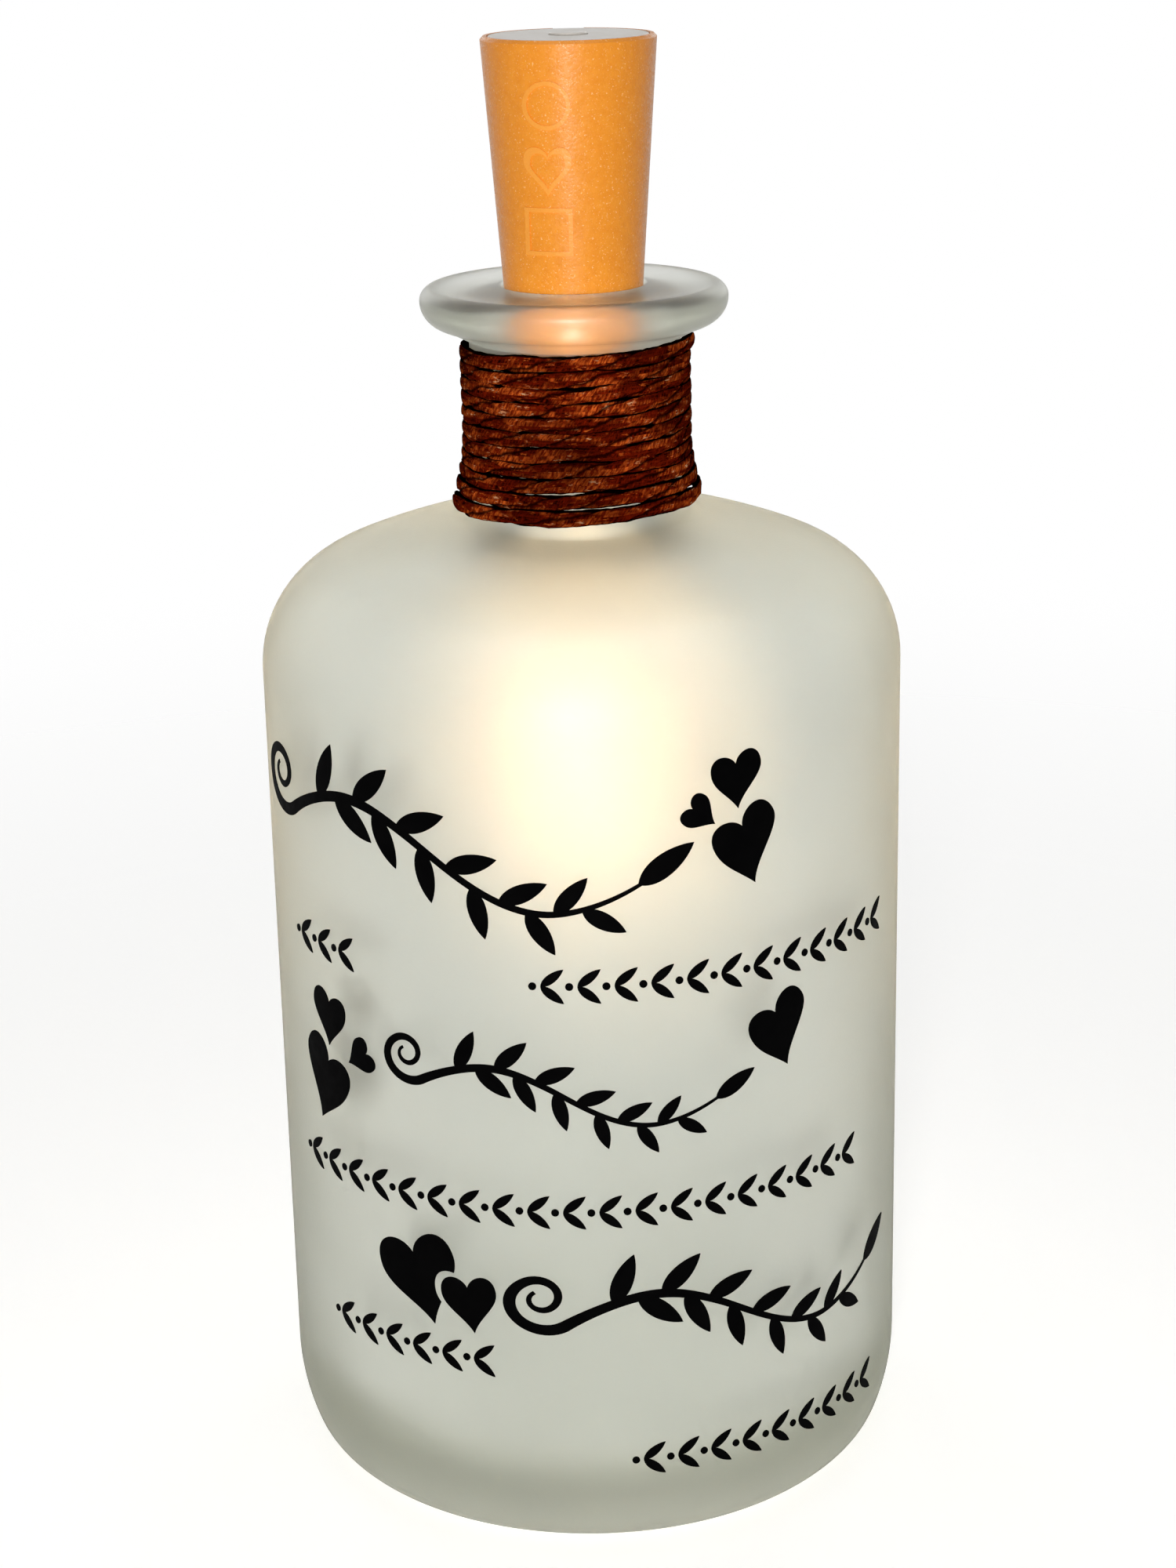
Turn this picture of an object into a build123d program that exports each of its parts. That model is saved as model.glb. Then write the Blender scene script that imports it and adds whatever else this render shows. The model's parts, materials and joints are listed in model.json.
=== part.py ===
from build123d import *
import math
import os

# Bottle body, millimetres
body_radius = 42.5
wall = 3.2
mouth_height = 161.8
shoulder_corner_radius = 15.5
shoulder_corner_height = 112.4
shoulder_corner_sweep = 67.3
shoulder_crown_radius = 90.0
heel_side_radius = 28.9
heel_side_height = 14.1
heel_side_sweep = 19.5
bearing_width = 4.0
punt_rise = 3.0
base_thickness = 8.0
inner_heel_radius = 10.0

# Bottle neck and lip
neck_radius = 13.7
neck_fillet = 4.0
inner_neck_round = 5.0
lip_radius = 19.95
lip_ridge_radius = 18.2
lip_under_radius = 17.0
lip_widest_drop = 1.8
lip_under_drop = 5.2
lip_root_drop = 6.9
lip_dish = 0.35
mouth_round = 0.6

# Waxed cord wound round the neck
wrap_cord = 1.42
wrap_pitch = 1.93
wrap_turns = 10.5
wrap_neck_gap = 0.15
wrap_flare = 1.05
wrap_flare_height = 9.0
wrap_lip_gap = 0.25
wrap_end_angle = 0

# Vinyl decals
decal_gap = 0.04
decal_thickness = 0.12
heart_relief_gap = 0.9

# How far a cutting body runs past what it cuts
cut_overrun = 2.0

# Tapered stopper
stopper_top_radius = 11.2
stopper_bottom_radius = 7.7
stopper_length = 50.0
stopper_exposed = 31.2
seat_clearance = 0.05
stopper_edge = 0.4
relief_height = 0.15
relief_aside = 2.9
relief_size = 6.0
relief_line = 0.55

# Battery well and electrics inside the stopper
cell_radius = 5.8
cell_height = 5.4
cell_edge = 0.35
cell_count = 3
cell_clearance = 0.25
plug_well_radius = 8.6
plug_well_depth = 9.0
bulkhead = 2.5
lower_well_radius = 5.6
plate_thickness = 0.4
plate_radius = 4.5
rivet_radius = 0.7
rivet_clearance = 0.1
strip_width = 2.0
strip_thickness = 0.35
strip_clearance = 0.1
strip_tab = 1.6
board_thickness = 1.0
board_radius = 5.45
board_gap = 0.8
resistor_length = 3.2
resistor_width = 1.6
resistor_height = 0.6
lower_plug_thickness = 3.5
lower_plug_clearance = 0.05
gland_radius = 1.6
gland_head_radius = 2.5
gland_head_height = 1.6
gland_tip_radius = 1.1
gland_clearance = 0.05
lead_radius = 0.25
lead_spacing = 1.6

# Cap, switch and button
cap_radius = 10.2
cap_flange = 0.9
cap_edge = 0.15
cap_rest_gap = 0.05
cap_side_gap = 0.1
nail_notch_width = 4.0
nail_notch_depth = 0.6
nail_notch_reach = 1.0
cap_plug_clearance = 0.1
cap_plug_wall = 1.3
cap_plug_length = 8.6
cap_roof = 1.2
button_radius = 2.4
button_clearance = 0.15
button_proud = 0.3
button_travel = 1.0
button_flange_radius = 3.4
button_flange_thickness = 1.2
button_flange_gap = 0.3
button_stem_radius = 1.2
button_stem_gap = 0.2
spring_wire = 0.3
spring_radius = 2.1
spring_turns = 2.5
switch_side = 7.0
switch_height = 3.2
carrier_thickness = 1.2
carrier_clearance = 0.05
contact_radius = 4.0
contact_tip_radius = 1.2
contact_thickness = 0.25
contact_height = 2.6
contact_gap = 0.1

# String of small lamps on its wire
wire_diameter = 0.6
coil_start_radius = 4.4
coil_radius = 6.3
coil_wobble = 0.45
coil_pitch = 1.3
coil_turns = 14
coil_top_height = 108.1
coil_lead_drop = 6.0
coil_start_angle = -45
wire_entry_run = 4.5
drop_bead_radius = 1.15
drop_bead_half_length = 2.2
drop_swell_share = 4 / 3
drop_belly_share = 0.62
chip_length = 1.2
chip_width = 0.6
chip_gap = 0.05
bead_count = 9
bead_first_turn = 0.9
bead_turn_step = 1.5

# Figures on the wall are laid out flat: every place and size is a share of the straight wall's height
# Hearts: across and height of the middle, size, lean, curl of the tip
heart_shares = {
    "hearts_top": [
        (0.174, 0.9501, 0.0624, 10, 0.10),
        (0.128, 0.9155, 0.0407, 55, 0.04),
        (0.189, 0.8738, 0.0836, 27, 0.20),
    ],
    "hearts_left": [
        (-0.349, 0.6348, 0.0651, -10, -0.10),
        (-0.365, 0.5542, 0.0933, -28, -0.20),
        (-0.291, 0.6003, 0.0434, -58, 0.00),
    ],
    "heart_right": [
        (0.233, 0.6435, 0.0825, 28, 0.20),
    ],
    "hearts_low": [
        (-0.213, 0.3455, 0.1085, 18, 0.00),
        (-0.148, 0.3246, 0.0695, 8, 0.00),
    ],
}

# Control points of half a heart and of half a leaf, as shares of the size
heart_notch_share = 0.26
heart_tip_share = -0.56
heart_upper_shares = [(0.08, 0.50), (0.50, 0.56), (0.50, 0.17)]
heart_lower_shares = [(0.50, -0.10), (0.14, -0.26)]
leaf_side_shares = [(0.22, 1.05), (0.72, 0.78)]

# Sprays: across of the middle, length and height of the low end, then rise and bow as shares of the length
spray_shares = {
    "spray_top": (-0.168, 0.480, 0.8723, -0.050, 0.095),
    "spray_middle": (-0.023, 0.356, 0.5945, -0.040, 0.085),
    "spray_bottom": (0.182, 0.436, 0.3052, -0.020, 0.090),
}
stem_width_share = 0.030
scroll_radius_share = 0.088
spray_leaf_pairs = 6
spray_leaf_length_share = 0.16
spray_leaf_width_share = 0.082
spray_leaf_reach_share = 0.84
spray_leaf_angle = 46
stem_stations = 9
spray_tip_taper_share = 0.35
scroll_shrink_share = 0.62
scroll_half_turns = 3
scroll_end_share = 0.3

# Leaf bands: across of the first and the last pair, and height
band_shares = {
    "leaf_band_side": (-0.403, -0.304, 0.7241),
    "leaf_band_upper": (-0.053, 0.436, 0.7241),
    "leaf_band_middle": (-0.403, 0.344, 0.4491),
    "leaf_band_lower": (-0.350, -0.112, 0.2534),
    "leaf_band_base": (0.053, 0.416, 0.1296),
}
band_leaf_angle = 38
band_leaf_length_share = 0.033
band_leaf_width_share = 0.0156
band_spacing_share = 0.041
band_dot_share = 0.0045

# Derived heights and radii
quarter = 90
full_turn = 360
corner_center = (body_radius - shoulder_corner_radius, shoulder_corner_height)
crown_reach = shoulder_crown_radius - shoulder_corner_radius
crown_center = (
    corner_center[0] - crown_reach * math.cos(math.radians(shoulder_corner_sweep)),
    corner_center[1] - crown_reach * math.sin(math.radians(shoulder_corner_sweep)),
)
heel_center = (body_radius - heel_side_radius, heel_side_height)
heel_drop = heel_side_radius * math.sin(math.radians(heel_side_sweep))
heel_toe_radius = (heel_side_height - heel_drop) / (1 - math.sin(math.radians(heel_side_sweep)))
heel_toe_center = (
    heel_center[0] + (heel_side_radius - heel_toe_radius) * math.cos(math.radians(heel_side_sweep)),
    heel_toe_radius,
)
bearing_inner = heel_toe_center[0] - bearing_width
inner_radius = body_radius - wall
lip_root_height = mouth_height - lip_root_drop

stopper_top = mouth_height + stopper_exposed
stopper_bottom = stopper_top - stopper_length
stopper_slope = (stopper_top_radius - stopper_bottom_radius) / stopper_length
seat_height = mouth_height - mouth_round
bore_radius = stopper_bottom_radius + stopper_slope * (seat_height - stopper_bottom) + seat_clearance

cap_top = stopper_top
cap_low = cap_top - cap_flange
cap_seat = cap_low - cap_rest_gap
cap_seat_radius = cap_radius + cap_side_gap
plug_well_floor = cap_seat - plug_well_depth
cell_well_radius = cell_radius + cell_clearance
carrier_bottom = cap_low - cap_plug_length
stack_top = carrier_bottom - contact_height - contact_gap
stack_bottom = stack_top - cell_count * cell_height
bulkhead_top = stack_bottom - plate_thickness
bulkhead_bottom = bulkhead_top - bulkhead
board_top = bulkhead_bottom - board_gap
board_bottom = board_top - board_thickness
lower_plug_top = stopper_bottom + lower_plug_thickness
gland_tip = stopper_bottom - gland_head_height

cap_ceiling = cap_top - cap_roof
cap_plug_radius = plug_well_radius - cap_plug_clearance
cap_hollow_radius = cap_plug_radius - cap_plug_wall
carrier_top = carrier_bottom + carrier_thickness
switch_top = carrier_top + switch_height
button_flange_top = cap_ceiling - button_flange_gap
button_flange_bottom = button_flange_top - button_flange_thickness
button_stem_bottom = switch_top + button_travel + button_stem_gap

wrap_radius = wrap_cord / 2
wrap_center_top = neck_radius + wrap_neck_gap + wrap_radius
wire_radius = wire_diameter / 2
decal_inner = body_radius + decal_gap
decal_outer = decal_inner + decal_thickness
figure_scale = shoulder_corner_height


def rz(point):
    return Vector(point[0], 0, point[1])


def on_circle(center, radius, angle):
    turn = math.radians(angle)
    return (center[0] + radius * math.cos(turn), center[1] + radius * math.sin(turn))


def profile_arc(center, radius, start, end):
    return ThreePointArc(
        rz(on_circle(center, radius, start)),
        rz(on_circle(center, radius, (start + end) / 2)),
        rz(on_circle(center, radius, end)),
    )


def turned(edges):
    """A solid of revolution about the upright axis from a closed outline."""
    return revolve(make_face(edges), Axis.Z)


def turned_polygon(points):
    return turned(Polyline([rz(point) for point in points], close=True).edges())


def ring(outer, inner, low, high):
    return turned_polygon([(inner, low), (outer, low), (outer, high), (inner, high)])


def disc(radius, low, high):
    return ring(radius, 0, low, high)


def neck_blend(crown_radius, tube_radius, blend_radius):
    """Centre and end angles of the arc between the crown of the shoulder and an upright tube."""
    reach = crown_radius + blend_radius
    across = tube_radius + blend_radius - crown_center[0]
    height = crown_center[1] + math.sqrt(reach**2 - across**2)
    crown_angle = math.degrees(math.acos(across / reach))
    return (tube_radius + blend_radius, height), crown_angle


# Bottle


def outer_profile():
    blend_center, crown_angle = neck_blend(shoulder_crown_radius, neck_radius, neck_fillet)
    root = (neck_radius, lip_root_height)
    under = (lip_under_radius, mouth_height - lip_under_drop)
    widest = (lip_radius, mouth_height - lip_widest_drop)
    ridge = (lip_ridge_radius, mouth_height)
    punt_edge = (bearing_inner, 0)
    punt_side = (bearing_inner / 2, punt_rise * 3 / 4)
    mouth_edge = (bore_radius + mouth_round, mouth_height)
    dish = ((ridge[0] + mouth_edge[0]) / 2, mouth_height - lip_dish)
    upward = (0, 0, 1)
    downward = (0, 0, -1)
    return [
        ThreePointArc(rz((0, punt_rise)), rz(punt_side), rz(punt_edge)),
        Line(rz(punt_edge), rz((heel_toe_center[0], 0))),
        profile_arc(heel_toe_center, heel_toe_radius, -quarter, -heel_side_sweep),
        profile_arc(heel_center, heel_side_radius, -heel_side_sweep, 0),
        Line(rz((body_radius, heel_side_height)), rz((body_radius, shoulder_corner_height))),
        profile_arc(corner_center, shoulder_corner_radius, 0, shoulder_corner_sweep),
        profile_arc(crown_center, shoulder_crown_radius, shoulder_corner_sweep, crown_angle),
        profile_arc(blend_center, neck_fillet, crown_angle - 2 * quarter, -2 * quarter),
        Line(rz((neck_radius, blend_center[1])), rz(root)),
        Line(rz(root), rz(under)),
        TangentArc(rz(widest), rz(under), tangent=downward),
        TangentArc(rz(widest), rz(ridge), tangent=upward),
        ThreePointArc(rz(ridge), rz(dish), rz(mouth_edge)),
        profile_arc((mouth_edge[0], seat_height), mouth_round, quarter, 2 * quarter),
    ]


def inner_profile():
    crown_radius = shoulder_crown_radius - wall
    corner_radius = shoulder_corner_radius - wall
    blend_center, crown_angle = neck_blend(crown_radius, bore_radius, inner_neck_round)
    heel = (inner_radius - inner_heel_radius, base_thickness + inner_heel_radius)
    return [
        Line(rz((bore_radius, seat_height)), rz((bore_radius, blend_center[1]))),
        profile_arc(blend_center, inner_neck_round, -2 * quarter, crown_angle - 2 * quarter),
        profile_arc(crown_center, crown_radius, crown_angle, shoulder_corner_sweep),
        profile_arc(corner_center, corner_radius, shoulder_corner_sweep, 0),
        Line(rz((inner_radius, shoulder_corner_height)), rz((inner_radius, heel[1]))),
        profile_arc(heel, inner_heel_radius, 0, -quarter),
        Line(rz((heel[0], base_thickness)), rz((0, base_thickness))),
        Line(rz((0, base_thickness)), rz((0, punt_rise))),
    ]


def bottle():
    return turned(outer_profile() + inner_profile())


# Wound tubes


def tangent_pair(start, start_way, end, end_way):
    """Two tangent arcs that join two points, each with its direction."""
    chord = end - start
    ways = start_way + end_way
    square = ways.dot(ways) - 4
    slope = -2 * chord.dot(ways)
    reach = (-slope - math.sqrt(slope**2 - 4 * square * chord.dot(chord))) / (2 * square)
    first_corner = start + start_way * reach
    last_corner = end - end_way * reach
    middle = (first_corner + last_corner) / 2
    return [
        TangentArc(start, middle, tangent=start_way),
        TangentArc(middle, end, tangent=last_corner - first_corner),
    ]


def way_along(place, turn):
    step = 1 / full_turn
    return (place(turn + step) - place(turn - step)).normalized()


def winding_edges(place, turns, straight_end):
    """Half turns of tangent arcs, with a straight run at both ends."""
    halves = round(2 * turns)
    stations = [place(index / 2) for index in range(halves + 1)]
    ways = [way_along(place, index / 2) for index in range(halves + 1)]
    edges = [Line(stations[0] - ways[0] * straight_end, stations[0])]
    for index in range(halves):
        edges += tangent_pair(stations[index], ways[index], stations[index + 1], ways[index + 1])
    edges.append(Line(stations[-1], stations[-1] + ways[-1] * straight_end))
    return edges


def tube_along(edges, radius):
    route = Wire(edges)
    start = Plane(origin=route @ 0, z_dir=route % 0)
    return sweep(start * Circle(radius), path=route)


def least_gap(name, place, turns, diameter):
    """Smallest distance between the surfaces of a winding's own turns, on points of its route."""
    steps = 48
    points = [tuple(place(index / steps)) for index in range(round(turns * steps) + 1)]
    apart = steps // 2
    gap = min(
        math.dist(points[low], points[high])
        for low in range(len(points))
        for high in range(low + apart, min(low + 2 * steps, len(points)))
    )
    print(name, "least gap", round(gap - diameter, 3))


def wrap_place(turn):
    rise_left = (wrap_turns - turn) * wrap_pitch
    lip_slope = (lip_root_drop - lip_under_drop) / (lip_under_radius - neck_radius)
    under_lip = lip_root_height + lip_slope * (wrap_center_top - neck_radius)
    top = under_lip - wrap_radius * math.sqrt(1 + lip_slope**2) - wrap_lip_gap
    height = top - rise_left
    bottom = top - wrap_turns * wrap_pitch
    flare = max(0, 1 - (height - bottom) / wrap_flare_height)
    radius = wrap_center_top + wrap_flare * flare**2
    angle = math.radians(wrap_end_angle - (wrap_turns - turn) * full_turn)
    return Vector(radius * math.cos(angle), radius * math.sin(angle), height)


def neck_wrap():
    least_gap("neck_wrap", wrap_place, wrap_turns, wrap_cord)
    return tube_along(winding_edges(wrap_place, wrap_turns, wrap_cord), wrap_radius)


# Decals


def mapped(across, height):
    """A place on the unrolled wall, seen square on from outside."""
    return (decal_inner * math.sin(across / decal_inner), height)


def bezier_loop(chains):
    return make_face([Bezier(*chain) for chain in chains])


def heart_face(size, curl):
    notch = (0, heart_notch_share * size)
    tip = (-curl * size, heart_tip_share * size)
    right_upper = [(x * size, y * size) for x, y in heart_upper_shares]
    right_lower = [((x - curl) * size, y * size) for x, y in heart_lower_shares[1:]]
    shoulder = [(x * size, y * size) for x, y in heart_lower_shares[:1]]
    left_upper = [(-x, y) for x, y in right_upper]
    left_shoulder = [(-x, y) for x, y in shoulder]
    left_lower = [(-(x + curl) * size, y * size) for x, y in heart_lower_shares[1:]]
    return bezier_loop([
        [notch] + right_upper,
        [right_upper[-1]] + shoulder + right_lower + [tip],
        [tip] + left_lower[::-1] + left_shoulder + [left_upper[-1]],
        [left_upper[-1]] + left_upper[-2::-1] + [notch],
    ])


def leaf_face(base, angle, length, width, warp=lambda across, height: (across, height)):
    turn = math.radians(angle)

    def place(along, aside):
        across = base[0] + along * math.cos(turn) - aside * math.sin(turn)
        height = base[1] + along * math.sin(turn) + aside * math.cos(turn)
        return warp(across, height)

    over = [place(x * length, y * width / 2) for x, y in leaf_side_shares]
    under = [place(x * length, -y * width / 2) for x, y in leaf_side_shares]
    root = place(0, 0)
    tip = place(length, 0)
    return bezier_loop([[root] + over + [tip], [tip] + under[::-1] + [root]])


def wall_plane(across, height):
    turn = across / decal_inner
    outward = (math.sin(turn), -math.cos(turn), 0)
    sideways = (math.cos(turn), math.sin(turn), 0)
    depth = decal_inner / 2
    origin = (outward[0] * depth, outward[1] * depth, height)
    return Plane(origin=origin, x_dir=sideways, z_dir=outward)


def on_wall(face, across, height=0):
    """The thin piece of film that a flat figure cuts from a sleeve round the body."""
    prism = extrude(wall_plane(across, height) * face, decal_outer - decal_inner / 2 + cut_overrun)
    box = prism.bounding_box()
    sleeve = ring(decal_outer, decal_inner, box.min.Z - cut_overrun, box.max.Z + cut_overrun)
    return prism & sleeve


def heart_places(name):
    return [
        (across * figure_scale, height * figure_scale, size * figure_scale, lean, curl)
        for across, height, size, lean, curl in heart_shares[name]
    ]


def heart_decals(name):
    pieces = []
    for across, height, size, lean, curl in heart_places(name):
        face = Rot(0, 0, lean) * heart_face(size, curl)
        pieces.append(on_wall(face, across, height))
    return pieces


def paired_hearts(name):
    """Two hearts, where the larger stops short of the smaller."""
    large, small = heart_places(name)
    place = Pos(small[0] - large[0], small[1] - large[1])
    clear = place * Rot(0, 0, small[3]) * heart_face(small[2] + 2 * heart_relief_gap, small[4])
    large_face = Rot(0, 0, large[3]) * heart_face(large[2], large[4]) - clear
    small_face = Rot(0, 0, small[3]) * heart_face(small[2], small[4])
    return [on_wall(large_face, large[0], large[1]), on_wall(small_face, small[0], small[1])]


def scroll_edges(radius, width):
    """Outer and inner half circles of a tapering scroll that leaves the origin to the left."""
    outer_edges = []
    inner_edges = []
    outer = Vector(0, -width / 2)
    inner = Vector(0, width / 2)
    side = 1
    for index in range(scroll_half_turns):
        span = 2 * radius * scroll_shrink_share**index
        thin = width * (1 - (1 - scroll_end_share) * (index + 1) / scroll_half_turns)
        outer_end = outer + Vector(0, side * span)
        inner_end = outer_end - Vector(0, side * thin)
        outer_bulge = (outer + outer_end) / 2 - Vector(side * span / 2, 0)
        inner_bulge = (inner + inner_end) / 2 - Vector(side * (inner_end - inner).length / 2, 0)
        outer_edges.append(ThreePointArc(outer, outer_bulge, outer_end))
        inner_edges.append(ThreePointArc(inner, inner_bulge, inner_end))
        outer = outer_end
        inner = inner_end
        side = -side
    return outer_edges + inner_edges + [Line(outer, inner)]


def stem_height(share, low, rise, bow):
    return low + rise * share + bow * math.sin(2 * math.pi * share)


def stem_slope(share, arc, rise, bow):
    """Direction of the stem in the flat figure, which the wall's curve has narrowed."""
    across = math.cos((share - 1 / 2) * arc / decal_inner) * arc
    return math.degrees(math.atan2(rise + 2 * math.pi * bow * math.cos(2 * math.pi * share), across))


def stem_and_scroll(arc, low, rise, bow):
    stem_width = stem_width_share * arc
    root = Pos(*mapped(-arc / 2, low)) * Rot(0, 0, stem_slope(0, arc, rise, bow))
    upper = [(root * Pos(0, stem_width / 2)).position]
    lower = [(root * Pos(0, -stem_width / 2)).position]
    for index in range(1, stem_stations):
        share = index / (stem_stations - 1)
        half = stem_width / 2 * (1 - (1 - spray_tip_taper_share) * share)
        across = (share - 1 / 2) * arc
        height = stem_height(share, low, rise, bow)
        upper.append(Vector(*mapped(across, height + half)))
        lower.append(Vector(*mapped(across, height - half)))
    scroll = [root * edge for edge in scroll_edges(scroll_radius_share * arc, stem_width)]
    return make_face([Spline(*upper), Line(upper[-1], lower[-1]), Spline(*lower)] + scroll)


def spray(name):
    """A bowed stem with leaves on both sides, a leaf at its tip and a scroll at its root."""
    across, length_share, low_share, rise_share, bow_share = spray_shares[name]
    arc = length_share * figure_scale
    low = low_share * figure_scale
    rise = rise_share * arc
    bow = bow_share * arc
    length = spray_leaf_length_share * arc
    width = spray_leaf_width_share * arc
    figure = stem_and_scroll(arc, low, rise, bow)
    for index in range(2 * spray_leaf_pairs):
        side = 1 - 2 * (index % 2)
        share = (index + 2) / (2 * spray_leaf_pairs + 1) * spray_leaf_reach_share
        base = ((share - 1 / 2) * arc, stem_height(share, low, rise, bow))
        way = stem_slope(share, arc, rise, bow) + side * spray_leaf_angle
        scale = 1 - share / 3
        figure += leaf_face(base, way, length * scale, width * scale, mapped)
    tip_share = 1 - stem_width_share
    tip = ((tip_share - 1 / 2) * arc, stem_height(tip_share, low, rise, bow))
    figure += leaf_face(tip, stem_slope(1, arc, rise, bow), length, width, mapped)
    return on_wall(figure, across * figure_scale)


def leaf_band(name):
    """A row of small leaf pairs with a dot between each two."""
    first, last, height = [share * figure_scale for share in band_shares[name]]
    spacing = band_spacing_share * figure_scale
    length = band_leaf_length_share * figure_scale
    width = band_leaf_width_share * figure_scale
    radius = band_dot_share * figure_scale
    pieces = []
    for index in range(int((last - first) / spacing) + 1):
        pair = leaf_face((0, 0), band_leaf_angle, length, width)
        pair += leaf_face((0, 0), -band_leaf_angle, length, width)
        dot = Pos(-2 * radius, 0) * Circle(radius)
        pieces.append(on_wall(pair, first + index * spacing, height))
        pieces.append(on_wall(dot, first + index * spacing, height))
    return pieces


# Stopper


def stopper_radius(height):
    return stopper_bottom_radius + stopper_slope * (height - stopper_bottom)


def stopper_blank():
    edge_top = stopper_top_radius - stopper_edge
    edge_bottom = stopper_bottom_radius - stopper_edge
    return turned_polygon([
        (0, stopper_bottom),
        (edge_bottom, stopper_bottom),
        (stopper_radius(stopper_bottom + stopper_edge), stopper_bottom + stopper_edge),
        (stopper_radius(stopper_top - stopper_edge), stopper_top - stopper_edge),
        (edge_top, stopper_top),
        (0, stopper_top),
    ])


def relief_figures():
    """A plain ring, a heart and a square, outlined one under the other on the stopper's front."""
    inner_size = relief_size - 2 * relief_line
    outlines = [
        Circle(relief_size / 2) - Circle(inner_size / 2),
        heart_face(relief_size, 0) - heart_face(inner_size - relief_line, 0),
        Rectangle(relief_size, relief_size) - Rectangle(inner_size, inner_size),
    ]
    spacing = stopper_exposed / (len(outlines) + 1)
    front = Plane(origin=(-relief_aside, 0, stopper_top), x_dir=(1, 0, 0), z_dir=(0, -1, 0))
    return [
        extrude(front * Pos(0, -spacing * row) * outline, 2 * stopper_top_radius)
        for row, outline in enumerate(outlines, 1)
    ]


def relief_skin():
    low = stopper_top - stopper_exposed
    inner_low = stopper_radius(low) - relief_height
    inner_high = stopper_radius(stopper_top) - relief_height
    skin = turned_polygon([
        (inner_low, low),
        (stopper_radius(low) + relief_height, low),
        (stopper_radius(stopper_top) + relief_height, stopper_top),
        (inner_high, stopper_top),
    ])
    return [figure & skin for figure in relief_figures()]


def nail_notch():
    """A cut through the rim at the back, so that a fingernail reaches under the cap."""
    inner = cap_radius - nail_notch_reach
    outer = stopper_top_radius + cut_overrun
    low = cap_seat - nail_notch_depth
    high = stopper_top + cut_overrun
    middle = Pos(0, (inner + outer) / 2, (low + high) / 2)
    return middle * Box(nail_notch_width, outer - inner, high - low)


def stopper_shell():
    shell = stopper_blank()
    shell += relief_skin()
    shell -= disc(cap_seat_radius, cap_seat, stopper_top + cut_overrun)
    shell -= nail_notch()
    shell -= disc(plug_well_radius, plug_well_floor, cap_seat + cut_overrun)
    shell -= disc(cell_well_radius, bulkhead_top, plug_well_floor + cut_overrun)
    shell -= disc(lower_well_radius, stopper_bottom - cut_overrun, bulkhead_bottom)
    rivet_hole = rivet_radius + rivet_clearance
    shell -= disc(rivet_hole, bulkhead_bottom - cut_overrun, bulkhead_top + cut_overrun)
    groove_depth = strip_thickness + 2 * strip_clearance
    groove_outer = cell_well_radius + groove_depth
    groove_width = strip_width + 2 * strip_clearance
    groove_inner = lower_well_radius - groove_depth - strip_thickness
    groove_length = groove_outer - groove_inner
    groove_low = bulkhead_bottom - strip_clearance
    groove_high = plug_well_floor + cut_overrun
    groove = Pos((groove_outer + groove_inner) / 2, 0, (groove_low + groove_high) / 2) * Box(
        groove_length, groove_width, groove_high - groove_low
    )
    return shell - groove


def cell(index):
    low = stack_bottom + index * cell_height
    body = disc(cell_radius, low, low + cell_height)
    return chamfer(body.edges().filter_by(GeomType.CIRCLE), cell_edge)


def bottom_contact():
    plate = disc(plate_radius, bulkhead_top, stack_bottom)
    rivet = disc(rivet_radius, board_top, bulkhead_top)
    return plate + rivet


def side_strip():
    """A brass strip from a tab under the cap's plug down to the circuit board."""
    outer = board_radius - 2 * strip_clearance
    inner = outer - strip_thickness
    riser_inner = cell_well_radius + strip_clearance
    riser_outer = riser_inner + strip_thickness
    tab_outer = riser_inner + strip_tab
    tab_top = plug_well_floor + strip_thickness
    shelf_low = bulkhead_top - strip_thickness - strip_clearance
    outline = [
        (inner, board_top),
        (outer, board_top),
        (outer, shelf_low),
        (riser_outer, shelf_low),
        (riser_outer, plug_well_floor),
        (tab_outer, plug_well_floor),
        (tab_outer, tab_top),
        (riser_inner, tab_top),
        (riser_inner, shelf_low + strip_thickness),
        (inner, shelf_low + strip_thickness),
    ]
    face = make_face(Polyline([rz(point) for point in outline], close=True).edges())
    return extrude(face, strip_width / 2, both=True)


def circuit_board():
    return disc(board_radius, board_bottom, board_top)


def resistor():
    place = Pos(0, lead_spacing + resistor_width, board_bottom - resistor_height / 2)
    return place * Box(resistor_length, resistor_width, resistor_height)


def lower_plug():
    outer = lower_well_radius - lower_plug_clearance
    inner = gland_radius + gland_clearance
    return ring(outer, inner, stopper_bottom, lower_plug_top)


def wire_gland():
    return turned_polygon([
        (0, gland_tip),
        (gland_tip_radius, gland_tip),
        (gland_head_radius, stopper_bottom),
        (gland_radius, stopper_bottom),
        (gland_radius, lower_plug_top + stopper_edge),
        (0, lower_plug_top + stopper_edge),
    ])


def lead_wires():
    low = lower_plug_top + stopper_edge
    height = board_bottom - low
    lead = Cylinder(lead_radius, height, align=(Align.CENTER, Align.CENTER, Align.MIN))
    return [Pos(side * lead_spacing / 2, 0, low) * lead for side in (-1, 1)]


# Cap, switch and button


def top_cap():
    return turned_polygon([
        (button_radius + button_clearance, cap_ceiling),
        (button_radius + button_clearance, cap_top),
        (cap_radius - cap_edge, cap_top),
        (cap_radius, cap_top - cap_edge),
        (cap_radius, cap_low),
        (cap_plug_radius, cap_low),
        (cap_plug_radius, carrier_bottom),
        (cap_hollow_radius, carrier_bottom),
        (cap_hollow_radius, cap_ceiling),
    ])


def contact_carrier():
    return disc(cap_hollow_radius - carrier_clearance, carrier_bottom, carrier_top)


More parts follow.
